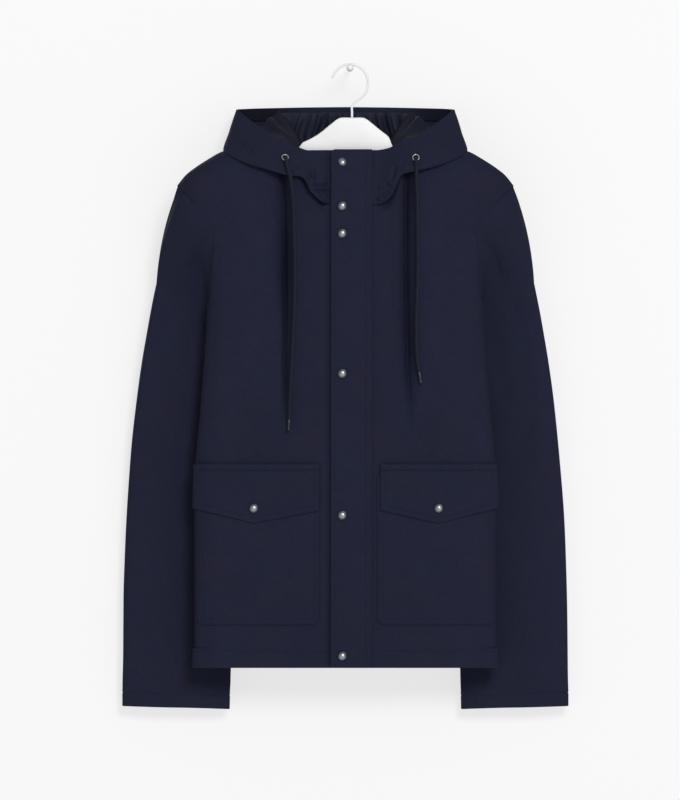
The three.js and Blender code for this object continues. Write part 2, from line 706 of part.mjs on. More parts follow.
function addPocket({ name, side, inner, outer, flapInner, flapOuter, snapX }) {
  const under = side < 0;
  const edgeX = frontEdgeX(POCKET_TOP_Z);
  const at = (x, z) => frontPoint(acrossAt(x, edgeX), z, { under });
  const round = [inner, inner + POCKET_CORNER / 4, inner + POCKET_CORNER];
  const shared = POCKET_COLUMNS.filter((x) => x > inner + POCKET_CORNER + 1);
  const footZ = (x) => {
    const near = Math.min(x - inner, outer - x);
    return POCKET_FOOT_Z + POCKET_CORNER * turnIn(near / POCKET_CORNER);
  };
  const pocket = gridOf(steps(0, 1, 5), [...round, ...shared, outer], (x, v) =>
    at(x, lerp(footZ(x), POCKET_TOP_Z, v)),
  );
  add(`pocket_${name}`, 'shell', wallOn(pocket, { side, lift: WALL + GAP }));

  const flapFootZ = (x) => {
    const [end, endX] = x < snapX ? [FLAP_INNER_Z, flapInner] : [FLAP_OUTER_Z, flapOuter];
    return lerp(FLAP_POINT_Z, end, (x - snapX) / (endX - snapX));
  };
  const flap = gridOf(steps(0, 1, 4), [flapInner, ...shared, flapOuter], (x, v) =>
    at(x, lerp(flapFootZ(x), FLAP_TOP_Z, v)),
  );
  add(`flap_${name}`, 'shell', wallOn(flap, { side, lift: WALL + GAP + FLAP_LIFT }));
}

// ---------------------------------------------------------------- snaps, eyelets and cords
// A turned piece standing on a face at a point, its axis along the face's normal.
function stand(name, finish, profile, point, normal, segments) {
  const turned = new THREE.LatheGeometry(
    profile.map(([r, h]) => new THREE.Vector2(r, h)),
    segments,
  );
  const mesh = add(name, finish, turned);
  mesh.quaternion.setFromUnitVectors(new THREE.Vector3(0, 1, 0), normal);
  mesh.position.copy(point);
}

const SNAP_PROFILE = [
  [0, 0],
  [SNAP_RADIUS - 0.4, 0],
  [SNAP_RADIUS, 0.6],
  [SNAP_RADIUS - 0.9, 1.3],
  [SNAP_RADIUS * 0.45, 2.2],
  [0, 2.5],
];

function addSnaps() {
  const line = hoodLine(1);
  const lifted = WALL + 2 * GAP + GAP;
  SNAP_ZS.forEach((z, i) => {
    let point = new THREE.Vector3(SNAP_X, FRONT_Y, z);
    let normal = new THREE.Vector3(0, -1, 0);
    if (z > NECKLINE[0].z) {
      const share = steps(0, 1, 400).find((v) => line.getPointAt(v).z >= z);
      const along = line.getTangentAt(share);
      normal = new THREE.Vector3(0, -along.z, along.y).normalize();
      point = line.getPointAt(share).setX(SNAP_X);
    }
    point.addScaledVector(normal, lifted + GAP).add(new THREE.Vector3(JACKET_X, 0, 0));
    stand(`snap_${i + 1}`, 'snap', SNAP_PROFILE, point, normal, 14);
  });
  for (const { name, side, snapX } of POCKETS) {
    const point = frontPoint(acrossAt(snapX, frontEdgeX(FLAP_SNAP_Z)), FLAP_SNAP_Z, {});
    const lift = WALL + GAP + FLAP_LIFT + 2 * GAP;
    point.set(JACKET_X + side * point.x, point.y - lift, point.z);
    stand(`snap_${name}`, 'snap', SNAP_PROFILE, point, new THREE.Vector3(0, -1, 0), 14);
  }
}

// The place on the hood's face that shows at x and z from the front, with its normal.
function onHood(x, z) {
  let best = { error: Infinity };
  for (const turn of steps(4, 8, 80)) {
    const line = hoodLine(turn);
    for (const share of steps(0.55, 1, 60)) {
      const point = line.getPointAt(share);
      const error = Math.hypot(point.x - x, point.z - z);
      if (error < best.error) best = { error, turn, share, point };
    }
  }
  const ahead = hoodLine(best.turn + 0.05).getPointAt(best.share).sub(best.point);
  const up = hoodLine(best.turn).getTangentAt(best.share);
  return { point: best.point, normal: ahead.cross(up).normalize() };
}

function tube(name, finish, points, radius, sides, count) {
  const ring = steps(0, sides - 1, sides - 1).map((i) => {
    const angle = (i / sides) * 2 * Math.PI;
    return new THREE.Vector2(radius * Math.cos(angle), radius * Math.sin(angle));
  });
  const extrudePath = new THREE.CatmullRomCurve3(points, false, 'centripetal');
  const shape = new THREE.Shape(ring);
  return add(name, finish, new THREE.ExtrudeGeometry(shape, { steps: count, extrudePath }));
}

const TIP_PROFILE = [
  [0, 0],
  [CORD_RADIUS - 0.3, 0],
  [CORD_RADIUS - 0.1, 1],
  [CORD_RADIUS - 0.1, TIP_LENGTH - 1],
  [CORD_RADIUS - 0.5, TIP_LENGTH],
  [0, TIP_LENGTH],
];

function addCord({ name, side, x, z }, route) {
  const { point, normal } = onHood(x, z);
  const world = (v) => new THREE.Vector3(JACKET_X + side * v.x, v.y, v.z);
  const out = new THREE.Vector3(side * normal.x, normal.y, normal.z);
  const face = world(point);
  const ring = [
    [EYELET_HOLE, 0],
    [EYELET_OUTER, 0],
    [EYELET_OUTER - 0.4, 1],
    [EYELET_HOLE + 0.4, 1.4],
    [EYELET_HOLE, 0],
  ];
  const seat = face.clone().addScaledVector(out, 3 * GAP);
  stand(`eyelet_${name}`, 'eyelet', ring, seat, out, 16);

  const start = face.clone().addScaledVector(out, 5 * GAP);
  const turn = face.clone().addScaledVector(out, 7).add(new THREE.Vector3(0, -3.6, -3));
  const hung = route.map((row) => new THREE.Vector3(JACKET_X + row.x, row.y, row.z));
  tube(`cord_${name}`, 'cord', [start, turn, ...hung], CORD_RADIUS, 8, name === 'left' ? 34 : 40);

  const end = hung.at(-1);
  const down = end.clone().sub(hung.at(-2)).normalize();
  const tip = end.clone().addScaledVector(down, GAP);
  stand(`tip_${name}`, 'tip', TIP_PROFILE, tip, down, 10);
}

// ---------------------------------------------------------------- hanger, hook and peg
function addHanger() {
  const nominal = through(HANGER_TOP, 'x', 'z');
  const top = (x) => {
    const fromMiddle = Math.abs(HANGER_X + x - JACKET_X);
    const collar = 5 * (1 - smoothstep(fromMiddle, 85, 120)); // lower under the hood's seam
    const cloth = ridgeZ(fromMiddle) - WALL - 3 - collar;
    const free = nominal(Math.abs(x));
    const under = lerp(Math.min(free, cloth), cloth, smoothstep(Math.abs(x), 145, 180));
    return lerp(free, under, smoothstep(fromMiddle, 55, 66));
  };
  const spans = HANGER_TOP.map((row) => row.x);
  const end = HANGER_REACH;
  const right = [...spans.map((x) => [x, top(x)]), [end - 5, top(end - 5)], [end, top(end) - 6]];
  const left = right.map(([x]) => [-x, top(-x) - (x === end ? 6 : 0)]).reverse();
  const foot = HANGER_FOOT.map(({ x, z }) => [x, z]);
  const footLeft = foot.slice(0, -1).reverse().map(([x, z]) => [-x, z]);
  const tipFoot = [end - 8, top(end) - 15];
  const tipFootLeft = [-(end - 8), top(-end) - 15];
  const outline = [...left, ...right, tipFoot, ...foot, ...footLeft, tipFootLeft];
  const inset = HANGER_EDGE * 0.6;
  const shape = new THREE.Shape(outline.map(([x, z]) => new THREE.Vector2(x, z)));
  const geometry = new THREE.ExtrudeGeometry(shape, {
    depth: HANGER_THICKNESS - 2 * HANGER_EDGE,
    bevelThickness: HANGER_EDGE,
    bevelSize: inset,
    bevelOffset: -inset,
    bevelSegments: 2,
  });
  const hanger = add('hanger', 'hanger', geometry);
  hanger.rotation.x = Math.PI / 2;
  hanger.position.set(HANGER_X, MID_Y + HANGER_THICKNESS / 2 - HANGER_EDGE, 0);

  const seat = PEG_RADIUS + GAP + WIRE_RADIUS; // the wire lies on the peg
  const wire = [
    [HANGER_X, HANGER_TOP[0].z + GAP],
    [HANGER_X, -58],
    [HANGER_X, -51],
    [HANGER_X + 2, -46.8],
    [16, -37.6],
    [21.2, -32],
  ];
  const centreZ = seat - HOOK_RADIUS;
  for (const degrees of steps(-6, 166, 14)) {
    const angle = degToRad(degrees);
    wire.push([HOOK_RADIUS * Math.cos(angle), centreZ + HOOK_RADIUS * Math.sin(angle)]);
  }
  const points = wire.map(([x, z]) => new THREE.Vector3(x, MID_Y, z));
  tube('hook', 'wire', points, WIRE_RADIUS, 8, 56);
}

function addPeg() {
  const neckY = MID_Y - WIRE_RADIUS - GAP; // the knob starts just in front of the wire
  const profile = [
    [0, KNOB_Y],
    [KNOB_RADIUS * 0.6, KNOB_Y + 0.9],
    [KNOB_RADIUS * 0.94, KNOB_Y + 2.8],
    [KNOB_RADIUS, KNOB_Y + 4.4],
    [KNOB_RADIUS * 0.85, KNOB_Y + 6.6],
    [PEG_RADIUS, neckY],
    [PEG_RADIUS, -3],
    [KNOB_RADIUS, -2],
    [KNOB_RADIUS, 0],
    [0, 0],
  ];
  const shape = profile.map(([r, y]) => new THREE.Vector2(r, y));
  add('peg', 'wire', new THREE.LatheGeometry(shape, 16));
}

// ---------------------------------------------------------------- the whole object
for (const [name, side, under] of SIDES) {
  addFront(name, side, under);
  addSleeve(name, side);
}
addBack();
addHems();
addHood();
addLinings();
addPlacket();
POCKETS.forEach(addPocket);
addSnaps();
addCord(EYELETS[0], CORD_RIGHT);
addCord(EYELETS[1], CORD_LEFT);
addHanger();
addPeg();

export default group;
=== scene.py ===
# A hooded nylon jacket on a clothes hanger and wall peg: its looks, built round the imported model.
# Shapes are worked out in millimetres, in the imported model's own frame, and put() turns them into
# metres. The front faces -Y. A side's shapes are worked out at x >= 0 from the jacket's middle plane
# and mirrored into place, and "left" is the wearer's left, at +X.

import math

import bpy
import numpy as np
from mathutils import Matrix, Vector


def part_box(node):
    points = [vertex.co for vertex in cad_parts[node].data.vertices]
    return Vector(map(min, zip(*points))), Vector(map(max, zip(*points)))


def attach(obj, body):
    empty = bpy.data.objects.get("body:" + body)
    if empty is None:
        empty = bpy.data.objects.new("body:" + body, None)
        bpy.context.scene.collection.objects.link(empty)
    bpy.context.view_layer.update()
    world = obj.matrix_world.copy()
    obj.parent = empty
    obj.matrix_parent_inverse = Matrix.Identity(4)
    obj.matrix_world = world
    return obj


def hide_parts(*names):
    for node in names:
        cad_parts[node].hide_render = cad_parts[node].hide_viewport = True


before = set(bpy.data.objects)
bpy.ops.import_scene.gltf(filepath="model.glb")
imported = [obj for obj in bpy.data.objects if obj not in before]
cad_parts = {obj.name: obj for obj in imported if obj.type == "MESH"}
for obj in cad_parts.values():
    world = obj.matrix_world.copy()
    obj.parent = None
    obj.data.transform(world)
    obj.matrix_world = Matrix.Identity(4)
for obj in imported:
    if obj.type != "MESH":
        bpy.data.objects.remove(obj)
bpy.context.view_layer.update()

# ------------------------------------------------------------------ sizes
MM = 0.001
JACKET_X = -6  # the jacket's middle plane
HANGER_X = 2.6  # the hanger's
MID_Y = -76  # the hanger's plane, through the middle of the body
BODY_DEPTH = 60
FRONT_Y = MID_Y - BODY_DEPTH / 2
BACK_Y = MID_Y + BODY_DEPTH / 2
SIDE_TURN = 34  # how far in from a side edge the cloth begins to turn
SHOULDER_TURN = 45  # and how far down from the shoulder's ridge
CROWN = 6  # how far back the front lies at CROWN_X from the middle
CROWN_X = 200
WALL = 2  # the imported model's walls, on which overlaid pieces stand
GAP = 0.3
CLOTH = 1.5  # the shell cloth as it shows at an edge,
THIN = 1.0  # a lining or the hood's facing,
TURNED = 2.6  # the hem and the cuffs,
DOUBLED = 2.0  # the placket and the flaps,
PATCH = 1.6  # and the pockets
STEP = 2.4  # between the columns of the fronts, and the rows of the hem and the cuffs

HEM_Z = -779
HEM_LINE_Z = -756
HEM_STITCH_Z = HEM_LINE_Z - 3
HEM_SPREAD = 2.6
CUFF_LINE_Z = -810
CUFF_STITCH_Z = CUFF_LINE_Z - 3
CUFF_Z = -829.5
CUFF_FALL = 4  # from a cuff's outer edge to its inner
SEAM_DROP = 8  # from the shoulder's ridge to its seam in front
NECK_SIDE_X = 75
NECK_BACK_X = 64
BACK_NECK_TURN = 35
CORNER_X = 218
CORNER_Z = -155

PLACKET_LEFT_X = -18.7
PLACKET_RIGHT_X = 34
UNDERLAP_X = -18
UNDERLAP_SINK = 3.2  # how deep the right front lies under the left one
LAP_X = 21  # as far as here, and
LEVEL_X = 28  # level with it from here
SNAP_X = -4
CORD_RADIUS = 2.5


def table(columns, *rows):
    """A short table's columns as arrays, by name."""
    return {name: np.array(column) for name, column in zip(columns.split(), zip(*rows))}


# Side edges from the hem up: the side seam, then the armhole.
FRONT_EDGE = table(
    "z x y",
    (-779, 196.3, -76.4), (-623, 196.3, -76.4), (-565, 196.5, -76.4), (-515, 195, -76.4),
    (-448, 189, -76.4), (-344, 181, -76.4), (-300, 177.5, -77), (-265, 175, -84),
    (-240, 173, -91), (-223, 171.8, -96), (-212, 171.5, -99), (-203, 176.4, -101),
    (-192, 184.2, -101), (-179, 194.6, -99), (-164, 208.9, -91), (-155, 218, -78),
)
BACK_EDGE = table(
    "z x y",
    (-779, 196.3, -75.6), (-623, 196.3, -75.6), (-565, 196.5, -75.6), (-515, 195, -75.6),
    (-448, 189, -75.6), (-344, 181, -75.6), (-300, 177.5, -75), (-292, 168, -61),
    (-282, 157, -51), (-268, 148, -47), (-250, 143, -46), (-230, 142, -46), (-210, 147, -46),
    (-193, 160, -47), (-176, 180, -51), (-162, 204, -61), (-155, 218, -74),
)
RIDGE = table(
    "x z",
    (0, -99), (75, -99.5), (102, -101), (131, -103.5), (150, -107), (162, -110),
    (179, -119.6), (195, -130), (208, -140.4), (218, -153),
)
# Where the neck seam runs on each side: the hood has slid a little to the wearer's left.
NECKLINES = {
    1: table(
        "x z",
        (0, -184), (35, -181), (46, -171), (54, -162), (60, -148), (64, -137), (70, -119), (75, -104),
    ),
    -1: table(
        "x z",
        (0, -184), (18, -180), (30, -168), (40, -155), (46, -145), (54, -138), (62, -129), (70, -117),
        (75, -104),
    ),
}
NECK_Z = -184

# The armhole once round: its edge, the angle of the sleeve's section below and the way out of it.
ARMHOLE = table(
    "edge z angle out_x out_y out_z",
    ("front", -155, 0, 0.35, 0, -0.94), ("front", -164, 22, 0.5, -0.1, -0.85),
    ("front", -179, 45, 0.6, 0, -0.8), ("front", -192, 58, 0.7, 0.05, -0.7),
    ("front", -203, 68, 0.8, 0.15, -0.6), ("front", -212, 76, 0.8, 0.3, -0.5),
    ("front", -223, 82, 0.8, 0.5, -0.35), ("front", -240, 88, 0.7, 0.65, -0.3),
    ("front", -265, 95, 0.5, 0.8, -0.3), ("front", -298, 105, 0.2, 0.9, -0.35),
    ("back", -292, 125, 0, 0.85, -0.5), ("back", -282, 145, -0.1, 0.8, -0.6),
    ("back", -268, 165, -0.15, 0.8, -0.55), ("back", -250, 185, -0.2, 0.9, -0.3),
    ("back", -230, 210, -0.1, 0.95, -0.2), ("back", -210, 240, 0.1, 0.95, -0.2),
    ("back", -193, 275, 0.4, 0.8, -0.4), ("back", -176, 310, 0.6, 0.6, -0.5),
    ("back", -162, 340, 0.6, 0.3, -0.75),
)
SLEEVE = table(
    "z outer inner half lead",
    (-834, 290.6, 150.5, 9.5, 0), (-779, 290, 149.5, 11, 0), (-680, 288.6, 146, 13, 0),
    (-596, 285.4, 141, 14.5, 1), (-512, 279.5, 134, 16, 4), (-440, 272.4, 128, 17, 8),
    (-392, 265.9, 124, 18, 10), (-344, 258.1, 122, 19, 12), (-296, 249, 122, 19, 14),
    (-248, 238.6, 124, 19, 16),
)
SLEEVE_Y = -24
SLEEVE_FULLNESS = 0.75

# The hood, from the middle of the front round to the middle of the back: its first rows on each side,
# then those that both sides share.
HOOD_COLUMNS = "seam_x over_x over_y over_z fold_x fold_y fold_z edge_x edge_y edge_z belly"
HOOD_FRONT = {
    1: (
        (-18, -18, -106.8, -166, -18, -106.6, -146, -18, -92, -108, 0),
        (35, 35, -107.6, -177, 35, -106.8, -146, 35, -92, -108, 0),
        (43, 45, -111, -178, 45, -109, -154, 44, -91.8, -107.8, 1),
        (55, 59, -115, -168, 59, -115, -148, 55, -91, -105.5, 4),
        (61, 68, -114.5, -149.5, 69.5, -117, -141, 63, -92, -102, 7),
        (68, 76, -106, -129, 81, -117, -137, 76, -92.5, -95.5, 9),
    ),
    -1: (
        (-18, -18, -106.8, -166, -18, -106.6, -146, -18, -92, -108, 0),
        (19, 19, -107.6, -176, 19, -106.6, -146, 19, -92, -108, 0),
        (30, 31, -114.5, -174.5, 31, -112, -152, 30, -92, -108, 1),
        (42, 45.5, -118, -161, 46, -116, -147, 43, -91.5, -108, 2),
        (48, 52, -118, -148.5, 54, -118, -140, 52, -91, -107.3, 5),
        (62, 67, -107, -134, 72, -117, -141, 69, -92.5, -100.5, 8),
    ),
}
HOOD_REST = (
    (75, 92, -102, -116, 104, -115, -132, 94, -87, -88.4, 9),
    (73, 110, -89.5, -101.5, 130, -106, -125, 116, -69, -74.5, 5),
    (70, 112, -80, -93.5, 155.5, -88, -112.5, 139, -48, -56.5, 1.5),
    (67, 112, -64, -93.5, 156, -60, -114, 141, -30, -54.6, 1.5),
    (64, 100, -47, -96, 146, -34, -150, 132, -15, -54, 3),
    (50, 72, -45, -97, 114, -28, -208, 100, -11, -53, 5),
    (25, 38, -44, -97, 64, -27, -250, 52, -10, -52, 2),
    (0, 0, -44, -97, 0, -27, -268, 0, -10, -51.5, 0),
)
HOODS = {side: table(HOOD_COLUMNS, *rows, *HOOD_REST) for side, rows in HOOD_FRONT.items()}
HOOD_LAST = len(HOODS[1]["seam_x"]) - 1
# Places along the hood's rows, by their number.
HOOD_SHOULDER = 6
HOOD_SEAM_AT = 11.6
HOOD_JOINT = 0.012
FACING_FROM = 7
LINING_FROM = 11.3
ROW_PITCH = 34  # about how far apart the rows behind the shoulders are
SEAM_MARGIN = 3.5  # from the hood's seams to their stitches
LINING_SINK = 4.5  # how deep the satin lies under the hood's facing
FACING_WIDTH = 16
LINING_FROM_EDGE = 7
LINING_TO_EDGE = 84
SIDE_LINING = table(
    "in_x in_y in_z out_x out_y out_z",
    (86, -20, -57, 116, -56, -82), (76, -26, -68, 107, -66, -89), (67, -38, -81, 97, -77, -91.5),
    (60, -52, -92, 86, -83, -94), (53, -70, -112, 66, -88, -109),
)

# name, side, inner and outer edge of the pocket, then of its flap, and the snap
POCKETS = (("right", -1, 34, 191.5, 34.7, 194, 119), ("left", 1, 41.5, 192, 45.9, 194.3, 121.3))
POCKET_TOP_Z = -532
POCKET_FOOT_Z = -723.5
POCKET_CORNER = 9
FLAP_TOP_Z = -516.5
FLAP_INNER_Z = -575.6
FLAP_OUTER_Z = -572.4
FLAP_POINT_Z = -592
FLAP_LIFT = WALL + 2 * GAP

# The cords' routes in metres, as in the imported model, from the jacket's middle plane: the stretch
# below the eyelet. name: side, the eyelet's x and z in millimetres, then the points.
CORDS = {
    "right": (-1, 78.3, -118, (
        (-0.075, -0.1211, -0.130), (-0.0715, -0.1221, -0.143), (-0.069, -0.1211, -0.158),
        (-0.0672, -0.1196, -0.180), (-0.0662, -0.1186, -0.219), (-0.0656, -0.1176, -0.246),
        (-0.0654, -0.1168, -0.272), (-0.0659, -0.116, -0.302), (-0.067, -0.1152, -0.333),
        (-0.0684, -0.1144, -0.364), (-0.0699, -0.1138, -0.394), (-0.0714, -0.1132, -0.424),
        (-0.073, -0.1126, -0.4565),
    )),
    "left": (1, 91.4, -118, (
        (0.0923, -0.1191, -0.129), (0.0926, -0.1201, -0.142), (0.093, -0.1196, -0.156),
        (0.0937, -0.1186, -0.182), (0.0939, -0.1181, -0.200), (0.094, -0.1176, -0.219),
        (0.0941, -0.1166, -0.246), (0.094, -0.1158, -0.276), (0.093, -0.115, -0.306),
        (0.0922, -0.1142, -0.336), (0.0924, -0.1136, -0.362), (0.094, -0.113, -0.384),
        (0.0957, -0.1126, -0.395),
    )),
}

WIRE_RADIUS = 1.5
HOOK_RADIUS = 23.4
PEG_RADIUS = 2.2
KNOB_RADIUS = 4.5
KNOB_Y = -87
HANGER_THICKNESS = 12
HANGER_EDGE = 2
HANGER_REACH = 188
HANGER_TOP = table(
    "x z",
    (0, -65.4), (14.3, -65.4), (19.5, -67.6), (44.5, -87.3), (65.5, -98), (90, -105),
    (130, -113.5), (160, -121), (176, -128),
)
HANGER_FOOT = table(
    "x z",
    (-188, -150), (-150, -141), (-100, -131), (-50, -127), (0, -126), (50, -127), (100, -131), (150, -141),
    (188, -150),
)


# ------------------------------------------------------------------ numbers
def smooth(value, low, high):
    t = np.clip((value - low) / (high - low), 0, 1)
    return t * t * (3 - 2 * t)


def mix(a, b, t):
    return a + (b - a) * t


def hermite(start, start_slope, end, end_slope, t):
    return (
        start * (2 * t**3 - 3 * t**2 + 1)
        + start_slope * (t**3 - 2 * t**2 + t)
        + end * (3 * t**2 - 2 * t**3)
        + end_slope * (t**3 - t**2)
    )


def through(keys, values):
    """A smooth function through points whose keys rise."""
    keys, values = np.asarray(keys, float), np.asarray(values, float)
    place = np.arange(len(keys))
    before, after = np.maximum(place - 1, 0), np.minimum(place + 1, len(keys) - 1)
    slopes = (values[after] - values[before]) / (keys[after] - keys[before])

    def at(key):
        held = np.clip(key, keys[0], keys[-1])
        i = np.clip(np.searchsorted(keys, held, side="right") - 1, 0, len(keys) - 2)
        span = keys[i + 1] - keys[i]
        t = (held - keys[i]) / span
        return hermite(values[i], slopes[i] * span, values[i + 1], slopes[i + 1] * span, t)

    return at


def turn_in(share):
    """How far a face has turned in, from 1 on its rim to 0 one turn's width inside."""
    return 1 - np.sqrt(1 - (1 - np.clip(share, 0, 1)) ** 2)


def places(low, high, step, marks=()):
    """Places from low to high, about a step apart, with close ones beside each mark, such as a seam."""
    even = np.linspace(low, high, max(2, round((high - low) / step) + 1))
    close = [mark + k * step / 3 for mark in marks for k in range(-3, 4)]
    found = [low]
    for place in sorted([*even[1:-1], *close]):
        if place - found[-1] > step / 5 and high - place > step / 5:
            found.append(place)
    return np.array([*found, high])


def around(count):
    """Even angles all the way round."""
    return np.linspace(0, 2 * math.pi, count, endpoint=False)


def hump(value, middle, width):
    return np.exp(-(((value - middle) / width) ** 2))


def lengths_along(line):
    """How far each of a line's points lies along it."""
    return np.concatenate([[0], np.cumsum(np.linalg.norm(np.diff(line, axis=0), axis=1))])


def unit(v):
    return v / np.maximum(np.linalg.norm(v, axis=-1, keepdims=True), 1e-12)


def joined(*columns):
    return np.stack(np.broadcast_arrays(*columns), -1).astype(float)


def curve_points(controls, t):
    """Centripetal Catmull-Rom curves: controls is (curves, points, 3) and t (curves, places)."""
    first, last = controls[:, :1], controls[:, -1:]
    padded = np.concatenate([2 * first - controls[:, 1:2], controls, 2 * last - controls[:, -2:-1]], 1)
    spans = controls.shape[1] - 1
    at = np.clip(t, 0, 1) * spans
    i = np.minimum(at.astype(int), spans - 1)
    w = (at - i)[..., None]
    rows = np.arange(len(controls))[:, None]
    p = [padded[rows, i + k] for k in range(4)]
    d = [np.maximum(((p[k + 1] - p[k]) ** 2).sum(-1, keepdims=True) ** 0.25, 1e-4) for k in range(3)]
    start = (p[1] - p[0]) / d[0] - (p[2] - p[0]) / (d[0] + d[1]) + (p[2] - p[1]) / d[1]
    end = (p[2] - p[1]) / d[1] - (p[3] - p[1]) / (d[1] + d[2]) + (p[3] - p[2]) / d[2]
    return hermite(p[1], start * d[1], p[2], end * d[1], w)


def curve_lengths(controls, count=120):
    """Even places along each curve's parameter and the length up to each of them."""
    t = np.tile(np.linspace(0, 1, count), (len(controls), 1))
    steps = np.linalg.norm(np.diff(curve_points(controls, t), axis=1), axis=-1)
    return t[0], np.concatenate([np.zeros((len(controls), 1)), np.cumsum(steps, 1)], 1)


def evenly(controls, share):
    """Points of each curve at shares (curves, places) of its length."""
    t, lengths = curve_lengths(controls)
    at = [np.interp(s * length[-1], length, t) for s, length in zip(share, lengths)]
    return curve_points(controls, np.array(at))


# ------------------------------------------------------------------ camera, light and stage
VIEW_X, VIEW_Z = -0.013, -0.4323  # the middle of the view, on the wall
VIEW_HEIGHT = 1.04  # what the view takes in at the jacket
VIEW_DISTANCE = 30.0
VIEW_CLIP = 200
VIEW_PLANE_Y = -0.07
LIGHT_AIM = (0, -0.05, -0.4)
WORLD_LIGHT = 0.42
WALL_WHITE = 0.955
WALL_SHADE = 0.27  # the wall's own share, which takes the shadows; the rest glows evenly
WALL_GLOW = 0.68
WALL_Y = 0.0004
WALL_HALF = 3
WALL_TOP = 2.5
FLOOR_Z = -1.25
FLOOR_REACH = 80


def make_camera():
    camera = bpy.data.objects.new("camera", bpy.data.cameras.new("camera"))
    bpy.context.scene.collection.objects.link(camera)
    camera.location = (VIEW_X, VIEW_PLANE_Y - VIEW_DISTANCE, VIEW_Z)
    camera.rotation_euler = (math.pi / 2, 0, 0)
    camera.data.lens = camera.data.sensor_width * VIEW_DISTANCE / VIEW_HEIGHT
    camera.data.clip_end = VIEW_CLIP
    bpy.context.scene.camera = camera


def area_light(name, place, size, power):
    data = bpy.data.lights.new(name, "AREA")
    data.shape = "DISK"
    data.size = size
    data.energy = power
    light = bpy.data.objects.new(name, data)
    bpy.context.scene.collection.objects.link(light)
    light.location = place
    way = np.array(LIGHT_AIM) - np.array(place)
    light.rotation_euler = Vector(way).to_track_quat("-Z", "Y").to_euler()


def make_lights():
    world = bpy.data.worlds.new("world")
    bpy.context.scene.world = world
    world.use_nodes = True
    back = world.node_tree.nodes["Background"]
    back.inputs["Color"].default_value = (1, 1, 1, 1)
    back.inputs["Strength"].default_value = WORLD_LIGHT
    area_light("key", (2.0, -9.0, 3.2), 3.0, 480)
    area_light("back_fill", (-1.5, 3.5, 1.2), 2.0, 50)
    bpy.context.scene.view_settings.view_transform = "Standard"


def plane(name, corners, material):
    mesh = bpy.data.meshes.new(name)
    mesh.from_pydata(corners, [], [(0, 1, 2, 3)])
    mesh.materials.append(material)
    plane_object = bpy.data.objects.new(name, mesh)
    bpy.context.scene.collection.objects.link(plane_object)
    return plane_object


def matt(name, shade):
    material = bpy.data.materials.new(name)
    material.use_nodes = True
    shader = material.node_tree.nodes["Principled BSDF"]
    shader.inputs["Base Color"].default_value = (shade, shade, shade, 1)
    shader.inputs["Roughness"].default_value = 0.9
    shader.inputs["Specular IOR Level"].default_value = 0
    return material, shader


def make_stage():
    square = ((-1, -1), (1, -1), (1, 1), (-1, 1))
    floor = [(x * FLOOR_REACH, y * FLOOR_REACH, FLOOR_Z) for x, y in square]
    plane("floor", floor, matt("floor", WALL_WHITE)[0])
    # The wall takes the shadows, and is clear from behind so that the jacket's back can be seen.
    material, shader = matt("wall", WALL_SHADE)
    shader.inputs["Emission Color"].default_value = (1, 1, 1, 1)
    shader.inputs["Emission Strength"].default_value = WALL_GLOW
    nodes, links = material.node_tree.nodes, material.node_tree.links
    sides = nodes.new("ShaderNodeNewGeometry")
    clear = nodes.new("ShaderNodeBsdfTransparent")
    either = nodes.new("ShaderNodeMixShader")
    links.new(sides.outputs["Backfacing"], either.inputs[0])
    links.new(shader.outputs[0], either.inputs[1])
    links.new(clear.outputs[0], either.inputs[2])
    links.new(either.outputs[0], nodes["Material Output"].inputs["Surface"])
    upright = [(x * WALL_HALF, WALL_Y, FLOOR_Z if y < 0 else WALL_TOP) for x, y in square]
    wall = plane("wall", upright, material)
    for ray in ("diffuse", "glossy", "transmission", "volume_scatter", "shadow"):
        setattr(wall, f"visible_{ray}", False)


